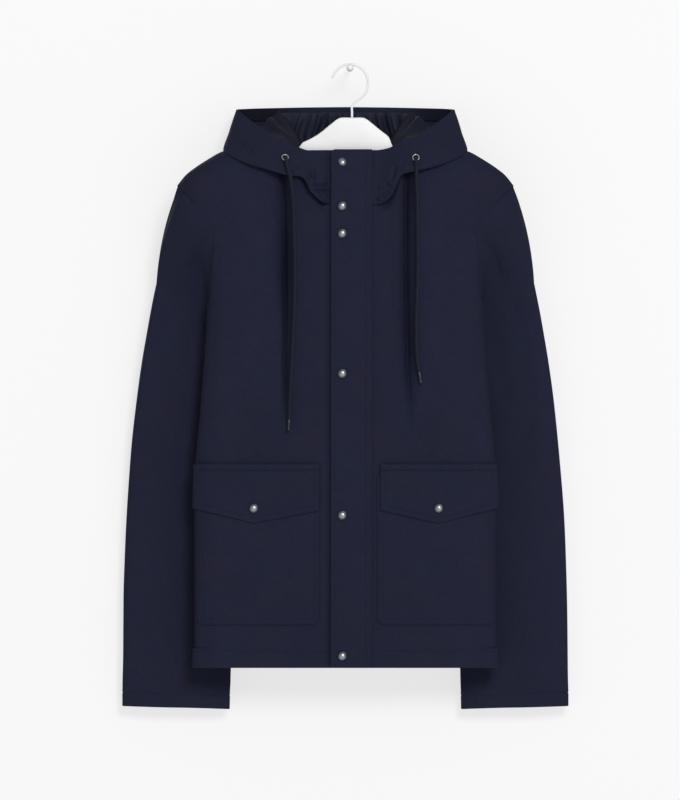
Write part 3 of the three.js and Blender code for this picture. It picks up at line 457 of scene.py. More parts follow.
# ------------------------------------------------------------------ materials
class Nodes:
    """A material's node tree, with one call for each kind of node that the finishes share."""

    def __init__(self, name):
        self.material = bpy.data.materials.new(name)
        self.material.use_nodes = True
        self.tree = self.material.node_tree
        self.shader = self.tree.nodes["Principled BSDF"]

    @classmethod
    def of(cls, material):
        """The nodes of a material made before, to add to."""
        nodes = cls.__new__(cls)
        nodes.material, nodes.tree = material, material.node_tree
        nodes.shader = nodes.tree.nodes["Principled BSDF"]
        return nodes

    def set(self, **values):
        for name, value in values.items():
            self.shader.inputs[name.replace("_", " ")].default_value = value

    def link(self, output, target):
        self.tree.links.new(output, target)

    def feed(self, name, output):
        self.link(output, self.shader.inputs[name])

    def map(self, scale=(1, 1, 1)):
        """The cloth's own coordinates, in metres along its width and length."""
        uv = self.tree.nodes.new("ShaderNodeUVMap")
        uv.uv_map = "cloth"
        mapping = self.tree.nodes.new("ShaderNodeMapping")
        mapping.inputs["Scale"].default_value = scale
        self.link(uv.outputs[0], mapping.inputs[0])
        return mapping.outputs[0]

    def noise(self, where, scale=1.0, detail=2.0, roughness=0.5):
        noise = self.tree.nodes.new("ShaderNodeTexNoise")
        noise.inputs["Scale"].default_value = scale
        noise.inputs["Detail"].default_value = detail
        noise.inputs["Roughness"].default_value = roughness
        self.link(where, noise.inputs["Vector"])
        return noise.outputs[0]

    def wave(self, where, scale, direction="X"):
        wave = self.tree.nodes.new("ShaderNodeTexWave")
        wave.bands_direction = direction
        wave.inputs["Scale"].default_value = scale
        self.link(where, wave.inputs["Vector"])
        return wave.outputs[1]

    def math(self, operation, a, b=0.0):
        node = self.tree.nodes.new("ShaderNodeMath")
        node.operation = operation
        for value, target in zip((a, b), node.inputs):
            if isinstance(value, (int, float)):
                target.default_value = value
            else:
                self.link(value, target)
        return node.outputs[0]

    def range(self, value, low, high, to_low, to_high):
        node = self.tree.nodes.new("ShaderNodeMapRange")
        for target, number in zip(list(node.inputs)[1:5], (low, high, to_low, to_high)):
            target.default_value = number
        self.link(value, node.inputs[0])
        return node.outputs[0]

    def vary(self, noise, low, high):
        """A noise's usual span spread from low to high."""
        return self.range(noise, 0.3, 0.7, low, high)

    def blend(self, factor, a, b, how="MIX"):
        node = self.tree.nodes.new("ShaderNodeMix")
        node.data_type = "RGBA"
        node.blend_type = how
        sockets = {s.identifier: s for s in node.inputs}
        for value, name in ((factor, "Factor_Float"), (a, "A_Color"), (b, "B_Color")):
            if isinstance(value, (int, float)):
                sockets[name].default_value = value
            elif isinstance(value, tuple):
                sockets[name].default_value = (*value, 1)
            else:
                self.link(value, sockets[name])
        return next(s for s in node.outputs if s.identifier == "Result_Color")

    def scaled(self, colour, by):
        grey = self.tree.nodes.new("ShaderNodeCombineColor")
        for target in grey.inputs:
            self.link(by, target)
        return self.blend(1.0, colour, grey.outputs[0], "MULTIPLY")

    def bump(self, height, distance):
        bump = self.tree.nodes.new("ShaderNodeBump")
        bump.inputs["Distance"].default_value = distance
        bump.inputs["Strength"].default_value = 1
        self.link(height, bump.inputs["Height"])
        self.feed("Normal", bump.outputs[0])


def shell_cloth(name, base, other):
    """Plain-woven nylon with uneven yarns: streaks along both its ways, and slow drifts of tone."""
    n = Nodes(name)
    warp = n.noise(n.map((950, 70, 1)))
    weft = n.noise(n.map((60, 900, 1)))
    slub = n.noise(n.map((260, 260, 1)), detail=3, roughness=0.6)
    yarns = n.math("ADD", n.math("ADD", warp, weft), n.math("MULTIPLY", slub, 0.7))
    drift = n.noise(n.map((9, 6, 1)), detail=3, roughness=0.55)
    hue = n.noise(n.map((15, 21, 1)))
    tone = n.math("MULTIPLY", n.range(yarns, 0.9, 1.8, 0.76, 1.26), n.vary(drift, 0.92, 1.08))
    colour = n.blend(n.range(hue, 0.38, 0.66, 0.0, 1.0), base, other)
    n.feed("Base Color", n.scaled(colour, tone))
    grain = n.math("MULTIPLY", n.wave(n.map(), 520, "X"), n.wave(n.map(), 520, "Y"))
    n.bump(n.math("ADD", yarns, n.math("MULTIPLY", grain, 0.5)), 0.00016)
    n.feed("Roughness", n.vary(slub, 0.77, 0.88))
    n.set(Specular_IOR_Level=0.16)
    return n.material


def shell_cloth_with_painted_shade(name, base, corner_shade, middle, clear_from, clear_to):
    """Shell cloth with painted shade: darker towards both ends of its length, where the hood's corners shade
    it.
    """
    material = shell_cloth(name, base, base)
    n = Nodes.of(material)
    along = n.tree.nodes.new("ShaderNodeSeparateXYZ")
    n.link(n.map(), along.inputs[0])
    off = n.math("ABSOLUTE", n.math("SUBTRACT", along.outputs[0], middle))
    colour = n.shader.inputs["Base Color"].links[0].from_socket
    # painted shade: the colour scaled down towards both ends of the facing
    n.feed("Base Color", n.scaled(colour, n.range(off, clear_from, clear_to, 1, corner_shade)))
    return material


def smooth_cloth(name, base, roughness, specular, streak):
    """A smooth filament weave with faint streaks, for linings and thread."""
    n = Nodes(name)
    threads = n.noise(n.map((30, 1400, 1)))
    drift = n.noise(n.map((30, 22, 1)), detail=3)
    streaks = n.vary(threads, 1 - streak, 1 + streak)
    tone = n.math("MULTIPLY", streaks, n.vary(drift, 0.9, 1.1))
    n.feed("Base Color", n.scaled(base, tone))
    n.feed("Roughness", n.vary(threads, roughness - 0.05, roughness + 0.05))
    n.bump(threads, 0.00002)
    n.set(Specular_IOR_Level=specular)
    return n.material


def braid(name, base):
    """A braided cord: two sets of strands that cross, with a hair of fuzz."""
    n = Nodes(name)
    across, along = 4 / (2 * math.pi * CORD_RADIUS * MM), 1 / 0.0034
    one = n.wave(n.map((across, along, 1)), 0.314, "DIAGONAL")
    two = n.wave(n.map((-across, along, 1)), 0.314, "DIAGONAL")
    strands = n.math("MAXIMUM", one, two)
    fuzz = n.noise(n.map((1500, 1500, 1)))
    tone = n.math("ADD", n.range(strands, 0, 1, 0.55, 1.15), n.math("MULTIPLY", fuzz, 0.2))
    n.feed("Base Color", n.scaled(base, tone))
    n.bump(n.math("ADD", strands, n.math("MULTIPLY", fuzz, 0.3)), 0.0003)
    n.set(Roughness=0.75, Specular_IOR_Level=0.2)
    return n.material


def metal(name, base, rim, roughness, rim_from, rim_to):
    """Plated metal with a painted darker rim past a radius, standing for shade and dark reflections there,
    with fine turning marks and rubbed spots.
    """
    n = Nodes(name)
    radius = n.tree.nodes.new("ShaderNodeSeparateXYZ")
    n.link(n.map(), radius.inputs[0])
    # painted shade and reflection: darker from rim_from out to rim_to
    painted_rim_shade = n.range(radius.outputs[0], rim_from * MM, rim_to * MM, 0, 1)
    spots = n.noise(n.map((900, 240, 1)), detail=4, roughness=0.65)
    colour = n.blend(painted_rim_shade, base, rim)
    n.feed("Base Color", n.scaled(colour, n.vary(spots, 0.86, 1.12)))
    n.feed("Roughness", n.vary(spots, roughness - 0.06, roughness + 0.08))
    n.bump(n.noise(n.map((4000, 40, 1)), detail=1), 0.00002)
    n.set(Metallic=1.0)
    return n.material


def painted(name, base, roughness):
    """Smooth white plastic or lacquer with a faint uneven gloss."""
    n = Nodes(name)
    place = n.tree.nodes.new("ShaderNodeTexCoord").outputs["Object"]
    cloud = n.noise(place, scale=30, detail=3)
    n.feed("Base Color", n.scaled(base, n.vary(cloud, 0.985, 1.01)))
    n.feed("Roughness", n.vary(cloud, roughness - 0.04, roughness + 0.05))
    n.bump(n.noise(place, scale=420), 0.00004)
    return n.material


NAVY = (0.0102, 0.0131, 0.0318)
NAVY_PURPLE = (0.0122, 0.0125, 0.0312)
FINISHES = {
    "shell": shell_cloth("shell", NAVY, NAVY_PURPLE),
    "satin": smooth_cloth("satin", (0.0098, 0.0118, 0.0255), 0.5, 0.09, 0.05),
    "charcoal": smooth_cloth("charcoal", (0.0086, 0.0102, 0.0200), 0.5, 0.12, 0.05),
    "cord": braid("cord", (0.0078, 0.0096, 0.0195)),
    "thread": smooth_cloth("thread", (0.0095, 0.0118, 0.0275), 0.8, 0.12, 0.1),
    # the facing's darker ends are painted shade
    "facing": shell_cloth_with_painted_shade("facing", NAVY, 0.34, 0.2, 0.065, 0.105),
    # the snaps' dark rims and the eyelets' slightly darker rims are painted shade and reflection
    "snap": metal("snap", (0.36, 0.37, 0.4), (0.035, 0.04, 0.05), 0.34, 3.6, 4.9),
    "eyelet": metal("eyelet", (0.5, 0.51, 0.54), (0.42, 0.43, 0.46), 0.28, 4.4, 5),
    "tip": metal("tip", (0.06, 0.063, 0.07), (0.045, 0.047, 0.053), 0.35, 3, 5),
    "hanger": painted("hanger", (0.86, 0.86, 0.865), 0.38),
    "wire": painted("wire", (0.86, 0.86, 0.865), 0.34),
}


# ------------------------------------------------------------------ meshes
def volume_of(points, faces):
    """The volume that faces close, below 0 where they face inwards."""
    total = 0.0
    for group in faces:
        group = np.asarray(group)
        for k in range(1, group.shape[1] - 1):
            a, b, c = (points[group[:, i]] for i in (0, k, k + 1))
            total += (a * np.cross(b, c)).sum()
    return total


def put(name, points, faces, finish, uv=None, nodes=()):
    """A mesh from points in millimetres, in place as one piece on the body."""
    points = np.asarray(points, float)
    if volume_of(points, faces) < 0:
        faces = [np.asarray(group)[:, ::-1] for group in faces]
    name = f"fine_{name}"
    mesh = bpy.data.meshes.new(name)
    mesh.vertices.add(len(points))
    mesh.vertices.foreach_set("co", (points * MM).astype(np.float32).ravel())
    corners = np.concatenate([np.asarray(group).ravel() for group in faces]).astype(np.int32)
    sizes = np.concatenate([np.full(len(group), np.shape(group)[1]) for group in faces])
    mesh.loops.add(len(corners))
    mesh.loops.foreach_set("vertex_index", corners)
    mesh.polygons.add(len(sizes))
    mesh.polygons.foreach_set("loop_start", np.concatenate([[0], np.cumsum(sizes)[:-1]]).astype(np.int32))
    mesh.polygons.foreach_set("use_smooth", np.ones(len(sizes), bool))
    mesh.update(calc_edges=True)
    if uv is not None:
        layer = mesh.uv_layers.new(name="cloth")
        layer.uv.foreach_set("vector", (np.asarray(uv)[corners] * MM).astype(np.float32).ravel())
    mesh.validate()
    mesh.materials.append(FINISHES[finish])
    piece = bpy.data.objects.new(name, mesh)
    bpy.context.scene.collection.objects.link(piece)
    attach(piece, "root")
    if nodes:
        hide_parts(*nodes)
    return piece


def normals_of(grid, ring=False):
    """The unit normals of a grid of points; ring says that each row closes on itself."""
    if ring:
        wide = np.concatenate([grid[:, -1:], grid, grid[:, :1]], 1)
        along = unit(wide[:, 2:] - grid) + unit(grid - wide[:, :-2])
    else:
        along = np.gradient(grid, axis=1)
    up = np.gradient(grid, axis=0)
    return unit(np.cross(along, up))


def quads_of(ids, ring=False):
    """Faces between rows of vertex numbers; ring says that each row closes on itself."""
    if ring:
        ids = np.concatenate([ids, ids[:, :1]], 1)
    return np.stack([ids[:-1, :-1], ids[:-1, 1:], ids[1:, 1:], ids[1:, :-1]], -1).reshape(-1, 4)


class Panel:
    """A cut of cloth: the outer face's grid, its normals and its own columns and rows."""

    def __init__(self, us, vs, point, lift=0.0, relief=None, turned=False, ring=False, side=1):
        self.us, self.vs, self.ring, self.side = us, vs, ring, side
        self.way = -1 if turned else 1
        u, v = np.meshgrid(us, vs)
        flat = point(u, v)
        normal = self.way * normals_of(flat, ring)
        rise = lift + (0 if relief is None else relief(u, v, flat))
        self.outer = flat + normal * np.broadcast_to(rise, u.shape)[..., None]
        self.normal = self.way * normals_of(self.outer, ring)
        self.flat = flat

    def along(self):
        """How far each point lies along its row and up its column, in millimetres."""
        grid = self.flat
        across = np.linalg.norm(np.diff(grid, axis=1), axis=-1)
        up = np.linalg.norm(np.diff(grid, axis=0), axis=-1)
        u = np.concatenate([np.zeros((len(grid), 1)), np.cumsum(across, 1)], 1)
        v = np.concatenate([np.zeros((1, grid.shape[1])), np.cumsum(up, 0)], 0)
        middle = np.interp(0, self.us, np.arange(len(self.us))) if self.us[0] < 0 else 0
        return u - u[:, [int(middle)]], v

    def at(self, u, v):
        """Points of the outer face and normals, at its own columns and rows."""
        c = np.interp(u, self.us, np.arange(len(self.us)))
        r = np.interp(v, self.vs, np.arange(len(self.vs)))
        c0 = np.minimum(c.astype(int), len(self.us) - 2)
        r0 = np.minimum(r.astype(int), len(self.vs) - 2)
        fc, fr = (c - c0)[:, None], (r - r0)[:, None]

        def of(grid):
            low = mix(grid[r0, c0], grid[r0, c0 + 1], fc)
            return mix(low, mix(grid[r0 + 1, c0], grid[r0 + 1, c0 + 1], fc), fr)

        return placed(of(self.outer), self.side), mirrored(unit(of(self.normal)), self.side)

    def make(self, name, finish="shell", wall=CLOTH):
        """The panel as a closed shell with soft rounded edges."""
        rows, wide = self.outer.shape[:2]
        inner = self.outer - self.normal * wall
        ids = np.arange(rows * wide).reshape(rows, wide)
        flat_uv = joined(*self.along()).reshape(-1, 2)
        points = [self.outer.reshape(-1, 3), inner.reshape(-1, 3)]
        uv = [flat_uv, flat_uv]
        quads = quads_of(ids, self.ring)
        faces = [quads, (quads + rows * wide)[:, ::-1]]
        count = 2 * rows * wide
        outer_flat, normal_flat = points[0], self.normal.reshape(-1, 3)
        for loop in self.edge_loops(ids):
            spread = self.outward(loop)
            before = loop
            for turn in (45, 90, 135):
                depth = wall / 2 * (1 - math.cos(math.radians(turn)))
                reach = wall / 2 * math.sin(math.radians(turn))
                points.append(outer_flat[loop] - normal_flat[loop] * depth + spread * reach)
                uv.append(flat_uv[loop])
                after = np.arange(count, count + len(loop))
                faces.append(quads_of(np.array([after, before]), True))
                before = after
                count += len(loop)
            faces.append(quads_of(np.array([loop + rows * wide, before]), True))
        points = placed(np.concatenate(points), self.side)
        piece = put(name, points, [np.concatenate(faces)], finish, np.concatenate(uv), [name])
        width, length, area = self.cut()

    def edge_loops(self, ids):
        if self.ring:
            return [ids[0], ids[-1, ::-1]]
        return [np.concatenate([ids[0, :-1], ids[:-1, -1], ids[-1, :0:-1], ids[:0:-1, 0]])]

    def outward(self, loop):
        """The way off the cloth at each point of an edge."""
        grid = self.outer
        off = np.zeros_like(grid)
        off[0] += unit(grid[0] - grid[1])
        off[-1] += unit(grid[-1] - grid[-2])
        if not self.ring:
            off[:, 0] += unit(grid[:, 0] - grid[:, 1])
            off[:, -1] += unit(grid[:, -1] - grid[:, -2])
        return unit(off.reshape(-1, 3)[loop])

    def cut(self):
        """The size of the cut in millimetres: its mean width, its greatest length and its area."""
        grid = self.flat
        closed = np.concatenate([grid, grid[:, :1]], 1) if self.ring else grid
        across, up = np.diff(closed, axis=1), np.diff(closed, axis=0)
        area = np.linalg.norm(np.cross(across[:-1], up[:, :-1]), axis=-1).sum()
        width = np.linalg.norm(across, axis=-1).sum(1).mean()
        length = np.linalg.norm(up, axis=-1).sum(0).max()
        return width, length, area


def mirrored(v, side):
    return v * np.array([side, 1, 1])


def placed(points, side):
    return mirrored(points, side) + np.array([JACKET_X, 0, 0])


def sweep(name, line, radius, finish, sides):
    """A round rod along a line of points; radius may be one number or one for each point."""
    tangent = unit(np.gradient(line, axis=0))
    across = unit(np.cross(tangent[0], (0.3, 1, 0.2)))
    frames = []
    for t in tangent:
        across = unit(across - t * (across @ t))
        frames.append((across, np.cross(t, across)))
    frames = np.array(frames)
    angle = around(sides)[None, :, None]
    spokes = np.cos(angle) * frames[:, None, 0] + np.sin(angle) * frames[:, None, 1]
    radii = np.broadcast_to(radius, len(line))[:, None, None]
    points = (line[:, None] + spokes * radii).reshape(-1, 3)
    ids = np.arange(len(points)).reshape(len(line), sides)
    uv = joined(around(sides)[None, :] * np.max(radius), lengths_along(line)[:, None]).reshape(-1, 2)
    return put(name, points, [quads_of(ids, True), ids[0][None, ::-1], ids[-1][None]], finish, uv, [name])


TURNED_SIDES = 40


def stand(name, profile, place, axis, finish, ring=False):
    """A turned piece: its profile is radius and height pairs, up its axis from a place. A ring's profile
    closes on itself, and any other is capped at both ends."""
    axis = unit(np.array(axis, float))
    side = unit(np.cross(axis, (0.2, 0.3, 1)))
    other = np.cross(axis, side)
    radius, height = np.array(profile, float).T
    angle = around(TURNED_SIDES)
    spokes = np.cos(angle)[:, None] * side + np.sin(angle)[:, None] * other
    points = np.asarray(place) + spokes[None] * radius[:, None, None] + axis * height[:, None, None]
    ids = np.arange(len(radius) * TURNED_SIDES).reshape(len(radius), TURNED_SIDES)
    faces = [quads_of(np.concatenate([ids, ids[:1]]) if ring else ids, True)]
    if not ring:
        faces += [ids[0][None, ::-1], ids[-1][None]]
    uv = joined(radius[:, None], (angle * 3)[None, :]).reshape(-1, 2)
    return put(name, points.reshape(-1, 3), faces, finish, uv, [name])


# ------------------------------------------------------------------ relief
def creases(x, z, rows, power=2):
    """Troughs and ridges at places x, z, soft at a power of 2 and sharp at 1. Each row is a line from one
    place to another, how far it bows, its half width, its height, below 0 for a trough, and where its two
    flanks differ, the half width on the side towards smaller x."""
    height = np.zeros_like(x)
    for x0, z0, x1, z1, bow, width, rise, *other in rows:
        length = math.hypot(x1 - x0, z1 - z0)
        t = ((x - x0) * (x1 - x0) + (z - z0) * (z1 - z0)) / length**2
        off = ((x - x0) * (z1 - z0) - (z - z0) * (x1 - x0)) / length - bow * (1 - (2 * t - 1) ** 2)
        fade = smooth(t, -0.12, 0.25) * (1 - smooth(t, 0.7, 1.12))
        low_side = other[0] if other else width
        toward_low = (z1 - z0) * off < 0
        height += rise * fade * np.exp(-(np.abs(off / np.where(toward_low, low_side, width)) ** power))
    return height


def unevenness(x, z, seed, height=0.55):
    """Slow waves of different lengths and ways, as cloth that was never quite flat."""
    random = np.random.default_rng(seed)
    total = np.zeros_like(x)
    for length in (210, 150, 110, 78, 55):
        way, start = random.uniform(0, math.pi), random.uniform(0, 2 * math.pi)
        phase = 2 * math.pi * (x * math.cos(way) + 0.6 * z * math.sin(way)) / length
        total += (length / 210) ** 0.7 * np.sin(phase + start + 0.8 * np.sin(z / 90 + start))
    return height * total / 2.6


def seam_dip(distance, along, depth=0.45):
    """The dip that a row of stitches pulls in, uneven along it, and the cloth it lifts on both sides."""
    pucker = 1 + 0.35 * np.sin(along / 1.9 + 2.2 * np.sin(along / 17)) * np.sin(along / 31 + 1)
    return depth * pucker * (0.4 * hump(np.abs(distance), 3.2, 1.7) - hump(distance, 0, 1))


def dimple(x, z, place):
    """The dent that a snap pulls in."""
    return -0.7 * hump(x, place[0], 8) * hump(z, place[1], 8)


# ------------------------------------------------------------------ the body's form
front_edge_x = through(FRONT_EDGE["z"], FRONT_EDGE["x"])
front_edge_y = through(FRONT_EDGE["z"], FRONT_EDGE["y"])
back_edge_x = through(BACK_EDGE["z"], BACK_EDGE["x"])
back_edge_y = through(BACK_EDGE["z"], BACK_EDGE["y"])
ridge_z = through(RIDGE["x"], RIDGE["z"])
neck_z = {side: through(line["x"], line["z"]) for side, line in NECKLINES.items()}

# A panel's column u is x itself as far as INNER_X, then grows evenly to the side's turn and its edge.
INNER_X = 100
TURN_U = 120
EDGE_U = 180


def across(u, edge_x):
    flat_end = edge_x - SIDE_TURN
    angle = np.clip((u - TURN_U) / (EDGE_U - TURN_U), 0, 1) * math.pi / 2
    middle = mix(INNER_X, flat_end, (u - INNER_X) / (TURN_U - INNER_X))
    x = np.where(u <= INNER_X, u, np.where(u <= TURN_U, middle, flat_end + SIDE_TURN * np.sin(angle)))
    return x, angle


def across_at(x, edge_x):
    flat_end = edge_x - SIDE_TURN
    angle = np.arcsin(np.clip((x - flat_end) / SIDE_TURN, 0, 1))
    middle = mix(INNER_X, TURN_U, (x - INNER_X) / (flat_end - INNER_X))
    turned = mix(TURN_U, EDGE_U, angle / (math.pi / 2))
    return np.where(x <= INNER_X, x, np.where(x <= flat_end, middle, turned))


def sink(x):
    return UNDERLAP_SINK * (1 - smooth(x, LAP_X, LEVEL_X))


def front_y(x, z, angle):
    drop = ridge_z(np.abs(x)) - z
    crown = CROWN * (x / CROWN_X) ** 2 * smooth(drop, 0, 1.5 * SHOULDER_TURN)
    face = FRONT_Y + crown + BODY_DEPTH / 2 * turn_in(drop / SHOULDER_TURN)
    return mix(face, front_edge_y(z), 1 - np.cos(angle))


def front_point(u, z, under=False, spread=0.0):
    x, angle = across(u, front_edge_x(z) + spread)
    y = front_y(x, z, angle) + (sink(x) if under else 0)
    return joined(x, y, z)


def ridge_width(x):
    return np.clip((CORNER_X - x) / 40, 0.06, 1)


def front_top_z(x, side):
    return np.where(x < NECK_SIDE_X, neck_z[side](np.abs(x)), ridge_z(x) - SEAM_DROP * ridge_width(x))


def front_top_at(u, side):
    z = np.full(np.shape(u), float(CORNER_Z))
    for _ in range(20):
        x, _ = across(u, front_edge_x(z))
        z = mix(z, front_top_z(x, side) - GAP, 0.5)
    return z


def back_point(u, z, spread=0.0):
    x, angle = across(np.abs(u), back_edge_x(z) + spread)
    face = BACK_Y - BODY_DEPTH / 2 * turn_in((ridge_z(x) - z) / SHOULDER_TURN)
    return joined(np.sign(u) * x, mix(face, back_edge_y(z), 1 - np.cos(angle)), z)


SEAM_TURN = math.acos(1 - SEAM_DROP / SHOULDER_TURN)


def back_end_turn(x):
    neck = math.radians(BACK_NECK_TURN)
    between = mix(neck, -SEAM_TURN, (x - NECK_BACK_X) / (NECK_SIDE_X - NECK_BACK_X))
    return np.where(x <= NECK_BACK_X, neck, np.where(x >= NECK_SIDE_X, -SEAM_TURN, between))


def over_ridge(u, share):
    """The back's cloth over the shoulder's ridge, from 0 behind it to 1 at its seam in front."""
    top_x = across(np.abs(u), CORNER_X)[0]
    width = ridge_width(top_x)
    turn = mix(math.pi / 2, back_end_turn(top_x), share)
    z = ridge_z(top_x) - SHOULDER_TURN * (1 - np.cos(turn)) * width
    x, angle = across(np.abs(u), back_edge_x(z))
    behind = MID_Y + BODY_DEPTH / 2 * np.sin(turn) * width
    return joined(np.sign(u) * x, np.where(turn > 0, behind, front_y(x, z, angle)), z)


SIDES = (("left", 1, False), ("right", -1, True))
OUTER_COLUMNS = (*np.linspace(INNER_X, TURN_U, 27)[1:], *np.linspace(TURN_U, EDGE_U, 23)[1:])
HALF_COLUMNS = (*np.linspace(0, 60, 17), *np.linspace(60, INNER_X, 13)[1:], *OUTER_COLUMNS)
BOTH_COLUMNS = np.array([*(-u for u in reversed(HALF_COLUMNS[1:])), *HALF_COLUMNS])
INNER_EDGE = {"left": PLACKET_LEFT_X, "right": UNDERLAP_X}

# Rows of creases(): x and z of one end, of the other, bow, half width, height.
FRONT_CREASES = {
    "right": (
        (52, -140, 24, -185, 4, 6, -9),
        (170, -214, 118, -236, -4, 8, -1.4), (176, -240, 140, -300, 5, 10, -1.1),
        (150, -200, 158, -440, 6, 24, -1.6), (60, -300, 52, -520, 4, 22, 1.1),
        (190, -190, 150, -178, 3, 7, -0.8), (186, -330, 150, -372, 4, 12, -1.0),
        (120, -420, 160, -515, 5, 16, -0.8), (42, -190, 52, -245, 3, 6, -0.9),
    ),
    "left": (
        (67, -140, 46, -184, -3, 6, -8),
        (170, -214, 122, -243, -5, 8, -1.3), (175, -245, 146, -292, 4, 9, -1.0),
        (148, -205, 152, -470, 7, 26, -1.5), (52, -250, 50, -500, 4, 18, 1.0),
        (186, -186, 150, -172, 3, 7, -0.8), (186, -352, 146, -390, 4, 13, -1.1),
        (60, -186, 66, -236, 2, 6, -1.1), (118, -470, 90, -512, 3, 13, -0.7),
    ),
}
# Beside the drawcords: folds that are deepest along a sharp line, and the columns that follow them.
FOLD_POWER = 1.15
FOLD_MARKS = (77.5, 82)
FRONT_FOLDS = {
    "right": ((81, -80, 78.5, -330, 0, 11, -16, 5), (78, -200, 79, -460, 0, 3.5, -10, 3.5)),
    "left": ((81, -80, 84, -460, 3, 6, -17, 6),),
}
BACK_CREASES = (
    (-150, -190, -90, -240, 6, 12, -1.8), (152, -188, 96, -250, 6, 12, -1.9),
    (-20, -170, -12, -420, 5, 26, -1.6), (70, -230, 60, -560, 6, 30, 1.7),
    (-90, -300, -80, -640, 8, 26, -1.8), (128, -330, 150, -600, 6, 20, -1.5),
    (-185, -360, -130, -410, 5, 14, -1.7), (186, -420, 120, -470, 6, 16, -1.6),
    (-160, -560, -100, -600, 4, 14, -1.1), (20, -600, 44, -740, 4, 18, -1.3),
)


def front_columns(name):
    return np.array([*places(INNER_EDGE[name], INNER_X, STEP, FOLD_MARKS), *OUTER_COLUMNS])


def off_sides(u):
    """1 on a panel's face, and 0 at its side edge."""
    return smooth(np.abs(u), EDGE_U, EDGE_U - 30)


def make_fronts():
    rows = places(0, 1, 1 / 170)
    for name, side, under in SIDES:
        columns = front_columns(name)
        covered = -PLACKET_LEFT_X if under else PLACKET_RIGHT_X

        def point(u, v):
            return front_point(u, mix(HEM_LINE_Z + GAP, front_top_at(u, side), v), under)

        def relief(u, v, p):
            x, z = p[..., 0], p[..., 2]
            folds = creases(x, z, FRONT_CREASES[name]) + creases(x, z, FRONT_FOLDS[name], FOLD_POWER)
            soft = folds + unevenness(x, z, 3 + side)
            return soft * off_sides(u) * smooth(v, 0, 0.03) * smooth(x, covered, covered + 12)

        Panel(columns, rows, point, 0, relief, side=side).make(f"front_{name}")


def make_back():
    low_rows = places(0, 1, 1 / 130)
    over_rows = np.linspace(0, 1, 22)[1:] + 1
    flat_top = over_ridge(BOTH_COLUMNS, 0)[:, 2]

    def point(u, v):
        low = back_point(u, mix(HEM_LINE_Z + GAP, flat_top[None, :], np.minimum(v, 1)))
        return np.where((v > 1)[..., None], over_ridge(u, v - 1), low)

    def relief(u, v, p):
        x, z = p[..., 0], p[..., 2]
        soft = creases(x, z, BACK_CREASES) + unevenness(x, z, 11, 0.9)
        return soft * off_sides(u) * smooth(v, 0, 0.03) * smooth(v, 1, 0.93)

    Panel(BOTH_COLUMNS, np.array([*low_rows, *over_rows]), point, 0, relief, turned=True).make("back")


def make_hems():
    rows = places(HEM_Z, HEM_LINE_Z, STEP, [HEM_STITCH_Z])

    def relief(u, z, p):
        along = p[..., 0] + u
        return seam_dip(z - HEM_STITCH_Z, along) + 0.35 * np.sin(along / 19) * smooth(z, HEM_LINE_Z, HEM_Z)

    for name, side, under in SIDES:
        columns = front_columns(name)
        hem = Panel(columns, rows, lambda u, z: front_point(u, z, under, HEM_SPREAD), 0, relief, side=side)
        hem.make(f"hem_front_{name}", wall=TURNED)
        run = places(columns[0], EDGE_U, 2)
        stitch_along(hem, run, np.full_like(run, HEM_STITCH_Z))
    hem = Panel(BOTH_COLUMNS, rows, lambda u, z: back_point(u, z, HEM_SPREAD), 0, relief, turned=True)
    hem.make("hem_back", wall=TURNED)
    stitch_along(hem, BOTH_COLUMNS, np.full_like(BOTH_COLUMNS, HEM_STITCH_Z))


# ------------------------------------------------------------------ stitches
STITCH_PITCH = 3.3
STITCH_LENGTH = 2.5
STITCH_RADIUS = 0.24
STITCH_SIDES = 5
stitch_runs = []


def stitch_along(panel, u, v):
    """Notes a row of stitches through a panel's own columns and rows."""
    stitch_runs.append(panel.at(np.asarray(u, float), np.asarray(v, float)))


def make_stitches():
    """Every row's stitches as one mesh: each stitch a short swelling of thread between two holes."""
    rings = ((-0.5, 0.25, -0.3), (-0.22, 1, 0.25), (0.22, 1, 0.25), (0.5, 0.25, -0.3))
    turns = around(STITCH_SIDES)
    points, faces, uv = [], [], []
    count = 0
    for line, normal in stitch_runs:
        reach = lengths_along(line)
        starts = np.arange(STITCH_PITCH / 2, reach[-1] - STITCH_PITCH / 2, STITCH_PITCH)

        def pick(at, values):
            return np.stack([np.interp(at, reach, values[:, k]) for k in range(3)], -1)

        middle, out = pick(starts, line), unit(pick(starts, normal))
        ahead = unit(pick(starts + 0.5, line) - middle)
        beside = np.cross(out, ahead)
        for share, swell, rise in rings:
            for turn in turns:
                spread = beside * math.cos(turn) + out * math.sin(turn)
                place = middle + ahead * share * STITCH_LENGTH + out * rise * STITCH_RADIUS
                points.append(place + spread * STITCH_RADIUS * swell)
        ids = count + np.arange(len(rings) * len(turns) * len(starts)).reshape(len(rings), len(turns), -1)
        faces.append(quads_of(ids, True))
        round_uv = np.repeat(turns[None, :, None], len(rings), 0) * STITCH_RADIUS
        uv.append(joined(round_uv, np.zeros_like(ids)).reshape(-1, 2))
        count += ids.size
    put("stitches", np.concatenate(points), [np.concatenate(faces)], "thread", np.concatenate(uv))


# ------------------------------------------------------------------ sleeves
sleeve_outer = through(SLEEVE["z"], SLEEVE["outer"])
sleeve_inner = through(SLEEVE["z"], SLEEVE["inner"])
sleeve_half = through(SLEEVE["z"], SLEEVE["half"])
sleeve_lead = through(SLEEVE["z"], SLEEVE["lead"])
ARMHOLE_GAP = 0.6
HOLES = len(ARMHOLE["z"])


def fuller(value):
    return np.sign(value) * np.abs(value) ** SLEEVE_FULLNESS


def sleeve_section(angle, z):
    outward = np.cos(angle)
    x = mix(sleeve_inner(z), sleeve_outer(z), (1 + fuller(outward)) / 2)
    y = SLEEVE_Y - sleeve_lead(z) * outward - sleeve_half(z) * fuller(np.sin(angle))
    return joined(x, y, z)


